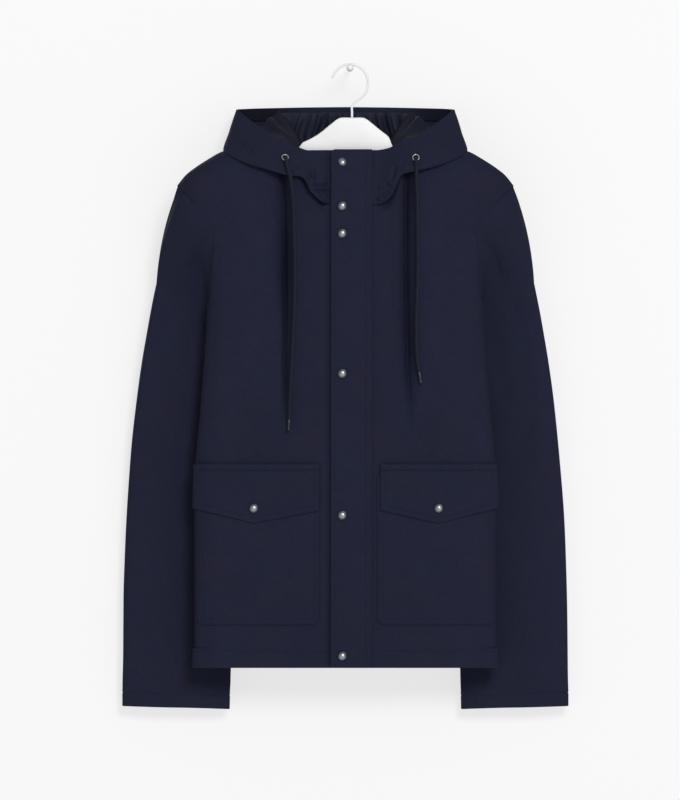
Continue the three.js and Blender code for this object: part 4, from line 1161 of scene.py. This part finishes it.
def around_armhole(name, lap=0.0):
    """A column of the armhole's table as a smooth function of the place round it, in rows."""
    values = ARMHOLE[name].astype(float)
    keys = np.arange(-2, HOLES + 3)
    turned = np.floor_divide(keys, HOLES)
    return through(keys, values[keys % HOLES] + lap * turned)


hole_angle = around_armhole("angle", 360.0)
hole_out = [around_armhole(f"out_{axis}") for axis in "xyz"]


def armhole_start(k):
    """The armhole's points at places round it."""
    low = np.minimum(np.floor(k).astype(int), HOLES - 1)
    share = k - low
    high = (low + 1) % HOLES
    z = ARMHOLE["z"].astype(float)
    edge = ARMHOLE["edge"]
    between = mix(z[low], z[high], share)

    def on(which, height):
        front = which == "front"
        x = np.where(front, front_edge_x(height), back_edge_x(height))
        return joined(x, np.where(front, front_edge_y(height), back_edge_y(height)), height)

    same = (edge[low] == edge[high])[..., None]
    chord = mix(on(edge[low], z[low]), on(edge[high], z[high]), share[..., None])
    return np.where(same, on(edge[low], between), chord)


def cap_foot_z(angle):
    return -340 + 60 * np.cos(angle)


def cuff_foot_z(angle, at_outer):
    return at_outer - CUFF_FALL / 2 * (1 - np.cos(angle))


def sleeve_point(k, w):
    """The sleeve: w runs from 0 at the armhole to 1 at the foot of its cap and 2 at its cuff."""
    angle = np.radians(hole_angle(k))
    leave = unit(joined(*(out(k) for out in hole_out)))
    start = armhole_start(k) + leave * ARMHOLE_GAP
    foot = cap_foot_z(angle)
    end = sleeve_section(angle, foot)
    reach = np.linalg.norm(end - start, axis=-1, keepdims=True)
    arrive = np.array([0.05, 0, -1])
    cap = hermite(start, leave * reach, end, arrive * reach, np.clip(w, 0, 1)[..., None])
    arm = sleeve_section(angle, mix(foot, cuff_foot_z(angle, CUFF_LINE_Z + GAP), np.clip(w - 1, 0, 1)))
    return np.where((w <= 1)[..., None], cap, arm)


# On the sleeve's front and on its back: x and z of one end, of the other, bow, half width, height.
SLEEVE_FRONT = {
    "right": (
        (196, -205, 226, -330, 6, 11, -1.6), (232, -220, 246, -330, -5, 12, 1.2),
        (186, -250, 214, -262, 2, 6, -1.3), (190, -300, 216, -420, 5, 12, -1.4),
        (238, -420, 226, -560, 5, 16, -1.2), (262, -470, 250, -500, 2, 8, -0.9),
        (210, -560, 236, -700, 6, 18, 1.1), (262, -620, 240, -655, 3, 9, -0.9),
        (206, -700, 222, -790, 3, 10, -0.9),
    ),
    "left": (
        (198, -208, 230, -340, 6, 11, -1.5), (236, -230, 250, -350, -5, 13, 1.1),
        (186, -256, 212, -272, 2, 6, -1.2), (188, -310, 212, -440, 5, 12, -1.5),
        (244, -400, 230, -540, 5, 15, -1.1), (264, -520, 246, -552, 2, 9, -0.9),
        (208, -590, 230, -720, 6, 18, 1.0), (266, -690, 244, -716, 3, 9, -0.8),
        (232, -730, 224, -800, 3, 10, -0.8),
    ),
}
SLEEVE_BACK = (
    (160, -240, 196, -330, 5, 10, -1.7), (226, -230, 216, -380, 5, 14, -1.6),
    (140, -330, 190, -372, 4, 10, -1.5), (250, -420, 196, -470, 5, 12, -1.6),
    (160, -500, 216, -540, 5, 13, -1.5), (268, -580, 212, -640, 5, 14, -1.3),
    (180, -640, 196, -780, 4, 14, -1.1),
)


def make_sleeves():
    columns = np.arange(0, HOLES, HOLES / 120)
    rows = np.array([*places(0, 1, 1 / 50), *places(1, 2, 1 / 98)[1:]])
    for name, side, _ in SIDES:

        def relief(k, w, p):
            x, z = p[..., 0], p[..., 2]
            facing = np.sin(np.radians(hole_angle(k)))
            front = creases(x, z, SLEEVE_FRONT[name]) * smooth(facing, -0.1, 0.4)
            back = creases(x, z, SLEEVE_BACK) * smooth(facing, 0.1, -0.4)
            soft = front + back + unevenness(x + 300 * facing, z, 21 + side, 0.8)
            return soft * smooth(w, 0, 0.15) * smooth(w, 2, 1.96)

        sleeve = Panel(columns, rows, sleeve_point, 0, relief, ring=True, side=side)
        sleeve.make(f"sleeve_{name}")

        cuff_rows = places(CUFF_Z, CUFF_LINE_Z, STEP, [CUFF_STITCH_Z])[::-1]

        def cuff_point(k, at_outer):
            angle = np.radians(hole_angle(k))
            return sleeve_section(angle, cuff_foot_z(angle, at_outer))

        def cuff_relief(k, at_outer, p):
            return seam_dip(at_outer - CUFF_STITCH_Z, p[..., 0] + k * 11)

        cuff = Panel(columns, cuff_rows, cuff_point, 0, cuff_relief, ring=True, side=side)
        cuff.make(f"cuff_{name}", wall=TURNED)
        # The same cuff with rows that rise, as Panel.at() needs.
        cuff_up = Panel(columns, cuff_rows[::-1], cuff_point, 0, cuff_relief, turned=True, side=side)
        stitch_along(cuff_up, columns, np.full_like(columns, CUFF_STITCH_Z))


# ------------------------------------------------------------------ hood
hood_rows = np.arange(HOOD_LAST + 1)
hood_column = {
    side: {name: through(hood_rows, values) for name, values in rows.items()} for side, rows in HOODS.items()
}


def neck_seam(turn, side):
    x = np.minimum(hood_column[side]["seam_x"](turn), NECK_SIDE_X)
    ahead = front_point(x, front_top_z(x, side))
    behind = over_ridge(x, 1.0)
    return np.where((turn <= HOOD_SHOULDER)[:, None], ahead, behind) + np.array([0, -2 * GAP, 2 * GAP])


def hood_curves(turns, side=1):
    """The hood's lines from the neck seam to the opening's edge, at places along its rows."""
    columns = hood_column[side]
    past = turns > HOOD_LAST
    held = np.where(past, 2 * HOOD_LAST - turns, turns)

    def part(name):
        return joined(*(columns[f"{name}_{axis}"](held) for axis in "xyz"))

    over, fold, edge = part("over"), part("fold"), part("edge")
    belly = (fold + edge) / 2
    away = unit(joined(belly[:, 0], belly[:, 1] - MID_Y / 2, 0))
    belly = belly + away * columns["belly"](held)[:, None]
    lines = np.stack([neck_seam(held, side), over, fold, belly, edge], 1)
    lines[past, :, 0] *= -1
    return lines


def hood_surface(rows_at=None, under=False, side=1):
    """The hood's surface: its rows lie at lengths along its lines that rows_at gives, or, without one,
    follow the lines' own marks, so that one row runs along the fold."""

    def point(turn, v):
        controls = hood_curves(turn[0], side)
        if rows_at:
            length = curve_lengths(controls)[1][:, -1:]
            grid = evenly(controls, np.clip(rows_at(v.T, length), 0, 1)).swapaxes(0, 1)
        else:
            grid = curve_points(controls, v.T).swapaxes(0, 1)
        if under:
            grid[..., 1] += sink(grid[..., 0])
        return grid

    return point


def from_last_row(p):
    """How far each point lies down its column from the last row."""
    steps = np.linalg.norm(np.diff(p, axis=0), axis=-1)
    return np.concatenate([np.cumsum(steps[::-1], 0)[::-1], np.zeros((1, p.shape[1]))], 0)


HOOD_CREASES = {
    "right": (
        (160, -80, 116, -119, 3, 3.2, -2.6), (150, -96, 108, -128, 2, 4, 1.0),
        (43, -131, 37, -149, -1, 2.6, -3.4), (44, -152.4, 20, -154.2, 0.5, 1.9, -3.2),
        (40, -160.5, 18, -162, 0.5, 2, -3.4), (42, -156.6, 20, -158, 0.4, 1.9, 1.8),
        (34, -168, 18, -170.5, 0.5, 2, -3.0), (49, -143, 36, -141, 0.6, 2, -2.0),
        (45, -146, 56, -136, 1.5, 3, -1.1), (60, -124, 72, -137, 1, 3.2, -1.4),
        (30, -116, 29, -146, 1, 3.4, -0.8), (96, -100, 84, -124, 2, 4.5, -0.9),
        (34, -168, 24, -172, 0.5, 2, -1.2), (112, -70, 96, -92, 1, 5, 0.6),
    ),
    "left": (
        (152, -86, 120, -112, 3, 4, -1.0), (146, -98, 112, -124, 2, 4, 0.7),
        (50, -148, 62, -160, 1, 2.6, -3.0), (44, -166, 58, -163, 0.6, 2.2, -3.2),
        (66, -128, 60, -150, 1.5, 3, -2.6), (38, -172, 52, -170, 0.4, 2, -2.4),
        (36, -120, 38, -152, 1, 3.6, -0.8), (78, -120, 70, -138, 1, 3.2, -1.3),
        (100, -96, 88, -122, 2, 4.5, -0.8), (34, -150, 46, -158, 0.6, 2.4, -0.9),
    ),
}
HOOD_STITCH = 7.5  # from the opening's edge
CENTRE_HALF = HOOD_LAST - HOOD_SEAM_AT - HOOD_JOINT


def make_hood():
    side_turns = np.array([
        *places(0.95, 5, 0.055), *places(5, 8, 0.04)[1:], *places(8, HOOD_SEAM_AT - HOOD_JOINT, 0.045)[1:],
    ])
    rows = np.array([0.01, *places(0, 1, 1 / 84)[1:]])
    for name, side, under in SIDES:
        start = 0.12 if under else 0.0
        turns = np.array([*np.linspace(start, 0.95, 12)[:-1], *side_turns])

        def relief(turn, v, p):
            x, z = p[..., 0], p[..., 2]
            shown = smooth(turn, 8.2, 7) * smooth(p[..., 1], -60, -80)
            edge = from_last_row(p)
            along = turn * 26
            soft = creases(x, z, HOOD_CREASES[name]) * shown * smooth(edge, 0, 9)
            hidden = unevenness(turn * ROW_PITCH, edge, 31 + side, 1.3)
            hidden = hidden * smooth(turn, 6, 9) * smooth(edge, 20, 60)
            tunnel = seam_dip(edge - HOOD_STITCH, along, 0.15)
            off_seam = (turn - HOOD_SEAM_AT) * ROW_PITCH + SEAM_MARGIN
            seam = seam_dip(off_seam, edge, 0.4) * smooth(turn, 10, 11)
            swell = 0.5 * unevenness(x, z, 5, 1.0) * smooth(edge, 4, 20) * smooth(v, 0, 0.1)
            return soft + hidden * smooth(v, 0, 0.15) + tunnel + seam + swell

        hood = Panel(turns, rows, hood_surface(None, under, side), 0, relief, side=side)
        hood.make(f"hood_side_{name}")
        stitch_along(hood, np.full_like(rows, HOOD_SEAM_AT - SEAM_MARGIN / ROW_PITCH), rows)

    turns = np.linspace(HOOD_LAST - CENTRE_HALF, HOOD_LAST + CENTRE_HALF, 100)
    inset = CENTRE_HALF - SEAM_MARGIN / ROW_PITCH
    centre_seams = (HOOD_LAST - inset, HOOD_LAST + inset)

    def relief(turn, v, p):
        edge = from_last_row(p)
        hidden = unevenness(turn * ROW_PITCH, edge, 37, 1.2) * smooth(edge, 20, 60) * smooth(v, 0, 0.15)
        seams = [seam_dip((turn - at) * ROW_PITCH, edge, 0.4) for at in centre_seams]
        return hidden * smooth(np.abs(turn - HOOD_LAST), CENTRE_HALF, CENTRE_HALF - 0.3) + sum(seams)

    centre = Panel(turns, rows, hood_surface(), 0, relief)
    centre.make("hood_centre")
    for at in centre_seams:
        stitch_along(centre, np.full_like(rows, at), rows)

    turns = np.linspace(FACING_FROM, 2 * HOOD_LAST - FACING_FROM, 330)
    facing_rows = lambda v, length: 1 - FACING_WIDTH * (1 - v) / length
    facing = Panel(turns, places(0, 1, 0.12), hood_surface(facing_rows), -WALL - 2 * GAP)
    facing.make("hood_facing", "facing", wall=THIN)


# Gathers of the satin: x, half width, height.
GATHERS = (
    (-84, 4, -1.6), (-72, 3, 1.2), (-60, 2.6, -3.0), (-53, 3.2, 1.6), (-46, 2.4, -1.5), (-38, 2.4, -2.2),
    (-31, 3.4, 1.3), (-24, 2.2, -1.6), (-14, 4, 0.8), (-5, 2.6, -1.2), (6, 4, 0.9), (14, 2.6, -1.4),
    (24, 3.6, 1.2), (33, 2.4, -1.8), (39, 3, 1.4), (45, 2.6, -3.0), (53, 3, 1.6), (60, 2.6, -3.2),
    (70, 4, 1.4), (80, 4, -1.8),
)


def make_linings():
    turns = np.linspace(LINING_FROM, 2 * HOOD_LAST - LINING_FROM, 260)
    reach = LINING_TO_EDGE - LINING_FROM_EDGE
    rows_at = lambda v, length: 1 - (LINING_TO_EDGE - reach * v) / length

    def gathers(turn, v, p):
        x = p[..., 0] + 4 * np.sin(6 * v + p[..., 0] / 30)
        total = sum(rise * hump(x, at, width) for at, width, rise in GATHERS)
        crimp = 0.7 * np.sin(x / 1.9 + 2 * np.sin(x / 11)) + 0.5 * np.sin(x / 3.1 + 3 * v)
        return -0.6 + (1.7 * total + crimp) * smooth(v, 1.03, 0.8) * (0.7 + 0.3 * np.sin(3 * v + x / 17))

    under = -WALL - THIN - 6 * GAP - LINING_SINK
    satin = Panel(turns, places(0, 1, 1 / 40), hood_surface(rows_at), under, gathers)
    satin.make("lining_centre", "satin", THIN)

    spans = {name: through(np.arange(5), values) for name, values in SIDE_LINING.items()}

    def point(share, row):
        inner = joined(*(spans[f"in_{axis}"](row) for axis in "xyz"))
        outer = joined(*(spans[f"out_{axis}"](row) for axis in "xyz"))
        rise = 5 * np.sin(math.pi * share)
        return mix(inner, outer, share[..., None]) + joined(-rise / 2, 0 * rise, rise / 2)

    for name, side, _ in SIDES:

        def folds(share, row, p):
            one = 3.2 * hump(share, 0.26 + 0.05 * row, 0.1) * smooth(row, 4.4, 2.5)
            two = -3.0 * hump(share, 0.5 - 0.05 * side, 0.12) * smooth(row, 4.2, 1.5)
            three = 1.6 * hump(share, 0.78 - 0.03 * row, 0.09)
            return (one + two + three) * smooth(share, 0, 0.15) * smooth(share, 1, 0.85)

        lining = Panel(np.linspace(0, 1, 50), np.linspace(0, 4, 70), point, 0, folds, side=side)
        lining.make(f"lining_{name}", "charcoal", THIN)


# ------------------------------------------------------------------ placket, pockets and flaps
PLACKET_CORNER = 6
PLACKET_STEPS = (2.2, 2.6)  # between its columns and between its rows
PLACKET_STITCHES = (PLACKET_LEFT_X + 4, PLACKET_RIGHT_X - 2, PLACKET_RIGHT_X - 8)


def stand_line():
    """The hood's line that the placket's upper end lies on."""
    return hood_curves(np.array([0.0]))


def make_placket():
    shares = np.linspace(0.08, 1, 70)
    high = evenly(stand_line(), shares[None])[0]
    low_z = np.linspace(HEM_Z, NECK_Z, 200)
    line = np.concatenate([joined(0, FRONT_Y, low_z), high])
    crown = np.concatenate([np.ones(200), 1 - shares])
    reach = lengths_along(line[:, 1:])
    top = reach[-1]

    def point(x, v):
        corner = PLACKET_CORNER * turn_in((x - PLACKET_LEFT_X) / PLACKET_CORNER)
        at = v * (top - corner) / top
        y, z, flat = (np.interp(at, reach, column) for column in (line[:, 1], line[:, 2], crown))
        return joined(x, y + CROWN * (x / CROWN_X) ** 2 * flat, z)

    def relief(x, v, p):
        z = p[..., 2]
        rows = sum(seam_dip(x - at, z, 0.38) for at in PLACKET_STITCHES)
        near_snaps = sum(dimple(x, z, (SNAP_X, at)) for at in snap_zs)
        edge = np.minimum(x - PLACKET_LEFT_X, PLACKET_RIGHT_X - x)
        wave = 0.5 * np.sin(z / 41 + 1) * np.sin(z / 17) * smooth(edge, 0, 12)
        return rows + near_snaps + wave - 0.3 * smooth(edge, 2, 0)

    columns = places(PLACKET_LEFT_X, PLACKET_RIGHT_X, PLACKET_STEPS[0], PLACKET_STITCHES)
    rows = places(0, top, PLACKET_STEPS[1])
    placket = Panel(columns, rows, point, WALL + 2 * GAP, relief)
    placket.make("placket", wall=DOUBLED)
    run = rows[rows < top - 8]
    for x in PLACKET_STITCHES:
        stitch_along(placket, np.full_like(run, x), run)


def rounded(x, z, box, corner):
    """How far inside an outline with two rounded lower corners a place lies."""
    left, right, foot, top = box
    side = np.minimum(x - left, right - x)
    up = z - foot
    round_off = corner - np.hypot(np.maximum(corner - side, 0), np.maximum(corner - up, 0))
    inside = np.where((side < corner) & (up < corner), round_off, np.minimum(side, up))
    return np.minimum(inside, top - z)


POCKET_STITCHES = (1.7, 6.6)
POCKET_STEP = 2.3
FLAP_STITCH = 6
FLAP_SLANT = 0.985  # the cosine of how far a flap's foot slants
FLAP_SEAM_Z = -524
FLAP_SNAP_Z = -573


def finer(path, step=3):
    """A line of points with more points between them."""
    reach = lengths_along(path)
    at = np.linspace(0, reach[-1], max(2, int(reach[-1] / step)))
    return joined(*(np.interp(at, reach, path[:, k]) for k in range(2)))


def stitch_path(panel, path, foot_z, top_z):
    """A row of stitches along a path of x and z, on a panel whose rows rise from foot_z(x) to top_z."""
    x, foot = path[:, 0], foot_z(path[:, 0])
    stitch_along(panel, x, (path[:, 1] - foot) / (top_z - foot))


def make_pocket(name, side, inner, outer, flap_inner, flap_outer, snap_x):
    under = side < 0
    edge_x = front_edge_x(POCKET_TOP_Z)
    box = (inner, outer, POCKET_FOOT_Z, POCKET_TOP_Z)

    def on_front(foot_z, top_z):
        return lambda x, v: front_point(across_at(x, edge_x), mix(foot_z(x), top_z, v), under)

    def foot_z(x):
        near = np.minimum(x - inner, outer - x)
        return POCKET_FOOT_Z + POCKET_CORNER * turn_in(near / POCKET_CORNER)

    def pocket_relief(x, v, p):
        z = mix(foot_z(x), POCKET_TOP_Z, v)
        inside = rounded(x, z, box, POCKET_CORNER)
        rows = sum(seam_dip(inside - at, x + z, 0.34) for at in POCKET_STITCHES)
        bag = 0.9 * smooth(inside, 6, 40) + unevenness(x, z, 41 + side, 0.4) * smooth(inside, 5, 20)
        return rows + bag - 0.3 * smooth(inside, 1.5, 0)

    marks = [inner + at for at in POCKET_STITCHES] + [outer - at for at in POCKET_STITCHES]
    rim = np.array([0.4, 2.2])
    columns = np.array(sorted({*places(inner, outer, POCKET_STEP, marks), *(inner + rim), *(outer - rim)}))
    height = POCKET_TOP_Z - POCKET_FOOT_Z
    rows = places(0, 1, 2.6 / height, [at / height for at in POCKET_STITCHES])
    pocket = Panel(columns, rows, on_front(foot_z, POCKET_TOP_Z), WALL + GAP, pocket_relief, side=side)
    pocket.make(f"pocket_{name}", wall=PATCH)
    turn = np.linspace(0, math.pi / 2, 8)
    for at in POCKET_STITCHES:
        bend = POCKET_CORNER - at
        low_z = POCKET_FOOT_Z + POCKET_CORNER - bend * np.sin(turn)
        left = joined(inner + POCKET_CORNER - bend * np.cos(turn), low_z)
        right = joined(outer - POCKET_CORNER + bend * np.cos(turn), low_z)
        ends = [(inner + at, FLAP_POINT_Z)], [(outer - at, FLAP_POINT_Z)]
        path = finer(np.concatenate([ends[0], left, right[::-1], ends[1]]))
        stitch_path(pocket, path, foot_z, POCKET_TOP_Z)

    def flap_foot_z(x):
        inwards = mix(FLAP_POINT_Z, FLAP_INNER_Z, (x - snap_x) / (flap_inner - snap_x))
        outwards = mix(FLAP_POINT_Z, FLAP_OUTER_Z, (x - snap_x) / (flap_outer - snap_x))
        return np.where(x < snap_x, inwards, outwards)

    def flap_relief(x, v, p):
        z = mix(flap_foot_z(x), FLAP_TOP_Z, v)
        side_in = np.minimum(x - flap_inner, flap_outer - x)
        inside = np.minimum(side_in, (z - flap_foot_z(x)) * FLAP_SLANT)
        rows = seam_dip(inside - FLAP_STITCH, x + z, 0.4) * smooth(z, FLAP_SEAM_Z, FLAP_SEAM_Z - 4)
        rows = rows + seam_dip(z - FLAP_SEAM_Z, x, 0.75)
        curl = 1.1 * smooth(z - flap_foot_z(x), 26, 0) * np.abs(np.sin((x - flap_inner) / 27)) ** 2
        ridge = 0.5 * smooth(z, FLAP_SEAM_Z, FLAP_SEAM_Z + 2.5)
        body = unevenness(x, z, 47 + side, 0.35) + dimple(x, z, (snap_x, FLAP_SNAP_Z))
        return rows + curl + ridge + body * smooth(inside, 0, 5) - 0.3 * smooth(inside, 1.5, 0)

    marks = [flap_inner + FLAP_STITCH, flap_outer - FLAP_STITCH]
    columns = np.array(sorted({*places(flap_inner, flap_outer, POCKET_STEP, marks), snap_x}))
    height = FLAP_TOP_Z - FLAP_POINT_Z
    rows = places(0, 1, 2.0 / height, [0.09, 0.9])
    lift = WALL + GAP + FLAP_LIFT
    flap = Panel(columns, rows, on_front(flap_foot_z, FLAP_TOP_Z), lift, flap_relief, side=side)
    flap.make(f"flap_{name}", wall=DOUBLED)
    rise = FLAP_STITCH / FLAP_SLANT
    outline = finer(np.array([
        (flap_inner + FLAP_STITCH, FLAP_SEAM_Z),
        (flap_inner + FLAP_STITCH, FLAP_INNER_Z + rise),
        (snap_x, FLAP_POINT_Z + rise),
        (flap_outer - FLAP_STITCH, FLAP_OUTER_Z + rise),
        (flap_outer - FLAP_STITCH, FLAP_SEAM_Z),
    ]))
    across_top = finer(np.array([(flap_inner + 1, FLAP_SEAM_Z), (flap_outer - 1, FLAP_SEAM_Z)]))
    for path in (outline, across_top):
        stitch_path(flap, path, flap_foot_z, FLAP_TOP_Z)


# ------------------------------------------------------------------ metal
def middle_of(node):
    low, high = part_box(node)
    return (np.array(low) + np.array(high)) / 2 / MM


SNAP_HALF = 1.25  # from the middle of a packed snap to the cloth under it
EYELET_LIFT = 3 * GAP
CORD_LIFT = 5 * GAP
CORD_PLACES = 260
SNAPS = [f"snap_{i}" for i in range(1, 7)]
snap_zs = [middle_of(name)[2] for name in SNAPS]
SNAP_PROFILE = (
    (0.5, 2.6), (1.6, 2.52), (2.7, 2.25), (3.6, 1.8), (4.1, 1.3), (4.4, 0.95), (4.8, 0.85), (5.2, 1.0),
    (5.8, 1.0), (6.2, 0.75), (6.3, 0.4), (6.1, 0.1), (5.5, 0.0),
)
EYELET_PROFILE = (
    (3.1, 0.2), (3.05, 0.7), (3.2, 1.2), (3.6, 1.5), (4.1, 1.4), (4.7, 1.0), (5.0, 0.4), (4.8, 0.0),
    (3.6, -0.2),
)
TIP_PROFILE = (
    (1.1, 0), (1.8, 0.1), (1.95, 0.6), (1.95, 1.2), (1.7, 1.6), (1.85, 2.0), (1.85, 12.8), (1.7, 13.2),
    (1.95, 13.6), (1.95, 14.4), (1.7, 14.9), (0.9, 15),
)


def make_snaps():
    line = evenly(stand_line(), np.linspace(0, 1, 400)[None])[0]
    for name, z in zip(SNAPS, snap_zs):
        place, axis = middle_of(name), np.array([0, -1.0, 0])
        if z > NECK_Z:
            at = int(np.argmin(np.abs(line[:, 2] - z)))
            along = unit(line[at + 2] - line[at - 2])
            axis = np.array([0, -along[2], along[1]])
        stand(name, SNAP_PROFILE, place - axis * SNAP_HALF, axis, "snap")
    for name in ("snap_left", "snap_right"):
        stand(name, SNAP_PROFILE, middle_of(name) + np.array([0, SNAP_HALF, 0]), (0, -1, 0), "snap")


def on_hood(x, z, side):
    """The place on the hood's face that shows at x and z from the front, and its normal."""
    turns = np.linspace(4, 7, 161)
    shares = np.linspace(0.55, 1, 121)
    grid = evenly(hood_curves(turns, side), np.tile(shares, (len(turns), 1)))
    i, j = np.unravel_index(np.argmin(np.hypot(grid[..., 0] - x, grid[..., 2] - z)), grid.shape[:2])
    i, j = min(i, len(turns) - 2), min(j, len(shares) - 2)
    return grid[i, j], unit(np.cross(grid[i + 1, j] - grid[i, j], grid[i, j + 1] - grid[i, j]))


def make_cords():
    for name, (side, x, z, hung) in CORDS.items():
        face, normal = on_hood(x, z, side)
        face, out = placed(face, side), mirrored(normal, side)
        stand(f"eyelet_{name}", EYELET_PROFILE, face + out * EYELET_LIFT, out, "eyelet", ring=True)
        start = face + out * CORD_LIFT
        turn = face + out * 7 + np.array([0, -3.6, -3])
        route = np.concatenate([[start, turn], np.array(hung) / MM + np.array([JACKET_X, 0, 0])])
        line = evenly(route[None], np.linspace(0, 1, CORD_PLACES)[None])[0]
        length = np.linalg.norm(np.diff(line, axis=0), axis=1).sum()
        cord = sweep(f"cord_{name}", line, CORD_RADIUS, "cord", 14)
        down = unit(route[-1] - route[-2])
        tip = stand(f"tip_{name}", TIP_PROFILE, route[-1] + down * GAP, down, "tip")


# ------------------------------------------------------------------ hanger, hook and peg
def hanger_top(x):
    nominal = through(HANGER_TOP["x"], HANGER_TOP["z"])
    from_middle = np.abs(HANGER_X + x - JACKET_X)
    collar = 5 * (1 - smooth(from_middle, 85, 120))
    cloth = ridge_z(from_middle) - WALL - 3 - collar
    free = nominal(np.abs(x))
    under = mix(np.minimum(free, cloth), cloth, smooth(np.abs(x), 145, 180))
    return mix(free, under, smooth(from_middle, 55, 66))


hanger_foot = through(HANGER_FOOT["x"], HANGER_FOOT["z"])


def make_hanger():
    """The hanger as rounded sections along its width, smaller at its two ends."""
    end, tips = HANGER_REACH, np.array([0, 0.3, 1, 2])
    x = np.array([*(tips - end), *places(-end + 4, end - 4, 4), *(end - tips[::-1])])
    near_end = np.clip((end - np.abs(x)) / 14, 0, 1)
    round_off = 1 - np.sqrt(1 - (1 - near_end) ** 2)
    top, foot = hanger_top(x), hanger_foot(x)
    middle, half_height = (top + foot) / 2, (top - foot) / 2 * (1 - 0.75 * round_off)
    half = HANGER_THICKNESS / 2 * (1 - 0.3 * round_off)
    angle = around(TURNED_SIDES) + math.pi / TURNED_SIDES
    corner = np.stack([np.sign(np.cos(angle)), np.sign(np.sin(angle))], -1)
    bend = np.stack([np.cos(angle), np.sin(angle)], -1)
    y = MID_Y + corner[:, 0] * (half[:, None] - HANGER_EDGE) + bend[:, 0] * HANGER_EDGE
    z = middle[:, None] + corner[:, 1] * (half_height[:, None] - HANGER_EDGE) + bend[:, 1] * HANGER_EDGE
    points = joined(HANGER_X + x[:, None], y, z)
    ids = np.arange(points.size // 3).reshape(points.shape[:2])
    faces = [quads_of(ids, True), ids[0][None, ::-1], ids[-1][None]]
    put("hanger", points.reshape(-1, 3), faces, "hanger", nodes=["hanger"])


def make_hook_and_peg():
    seat = PEG_RADIUS + GAP + WIRE_RADIUS
    turns = np.radians(np.linspace(-6, 166, 15))
    arc = joined(HOOK_RADIUS * np.cos(turns), MID_Y, seat - HOOK_RADIUS + HOOK_RADIUS * np.sin(turns))
    low_x = (HANGER_X, HANGER_X, HANGER_X, HANGER_X + 2, 16, 21.2)
    low = joined(low_x, MID_Y, (-65.1, -58, -51, -46.8, -37.6, -32))
    reach = np.linspace(0, 1, 150)
    line = evenly(np.concatenate([low, arc])[None], reach[None])[0]
    thick = WIRE_RADIUS * np.sqrt(np.clip(1 - (np.clip(reach - 0.99, 0, 1) / 0.0101) ** 2, 0.02, 1))
    sweep("hook", line, thick, "wire", 20)
    neck = MID_Y - WIRE_RADIUS - GAP
    knob = ((0.6, 0), (2.0, 0.5), (3.2, 1.3), (4.1, 2.6), (4.5, 4.2), (4.3, 5.8), (3.6, 7.2))
    profile = (
        *((radius, -KNOB_Y - back) for radius, back in knob),
        (2.5, -neck + 0.4), (PEG_RADIUS, -neck), (PEG_RADIUS, 3.2), (2.6, 2.6), (4.2, 2.1),
        (KNOB_RADIUS, 1.7), (KNOB_RADIUS, 0.2), (4.3, 0.0),
    )
    stand("peg", profile, (0, 0, 0), (0, -1, 0), "wire")


# ------------------------------------------------------------------ the whole object
make_camera()
make_cords()
make_lights()
make_stage()
make_fronts()
make_back()
make_hems()
make_sleeves()
make_hood()
make_linings()
make_placket()
for pocket in POCKETS:
    make_pocket(*pocket)
make_snaps()
make_stitches()
make_hanger()
make_hook_and_peg()
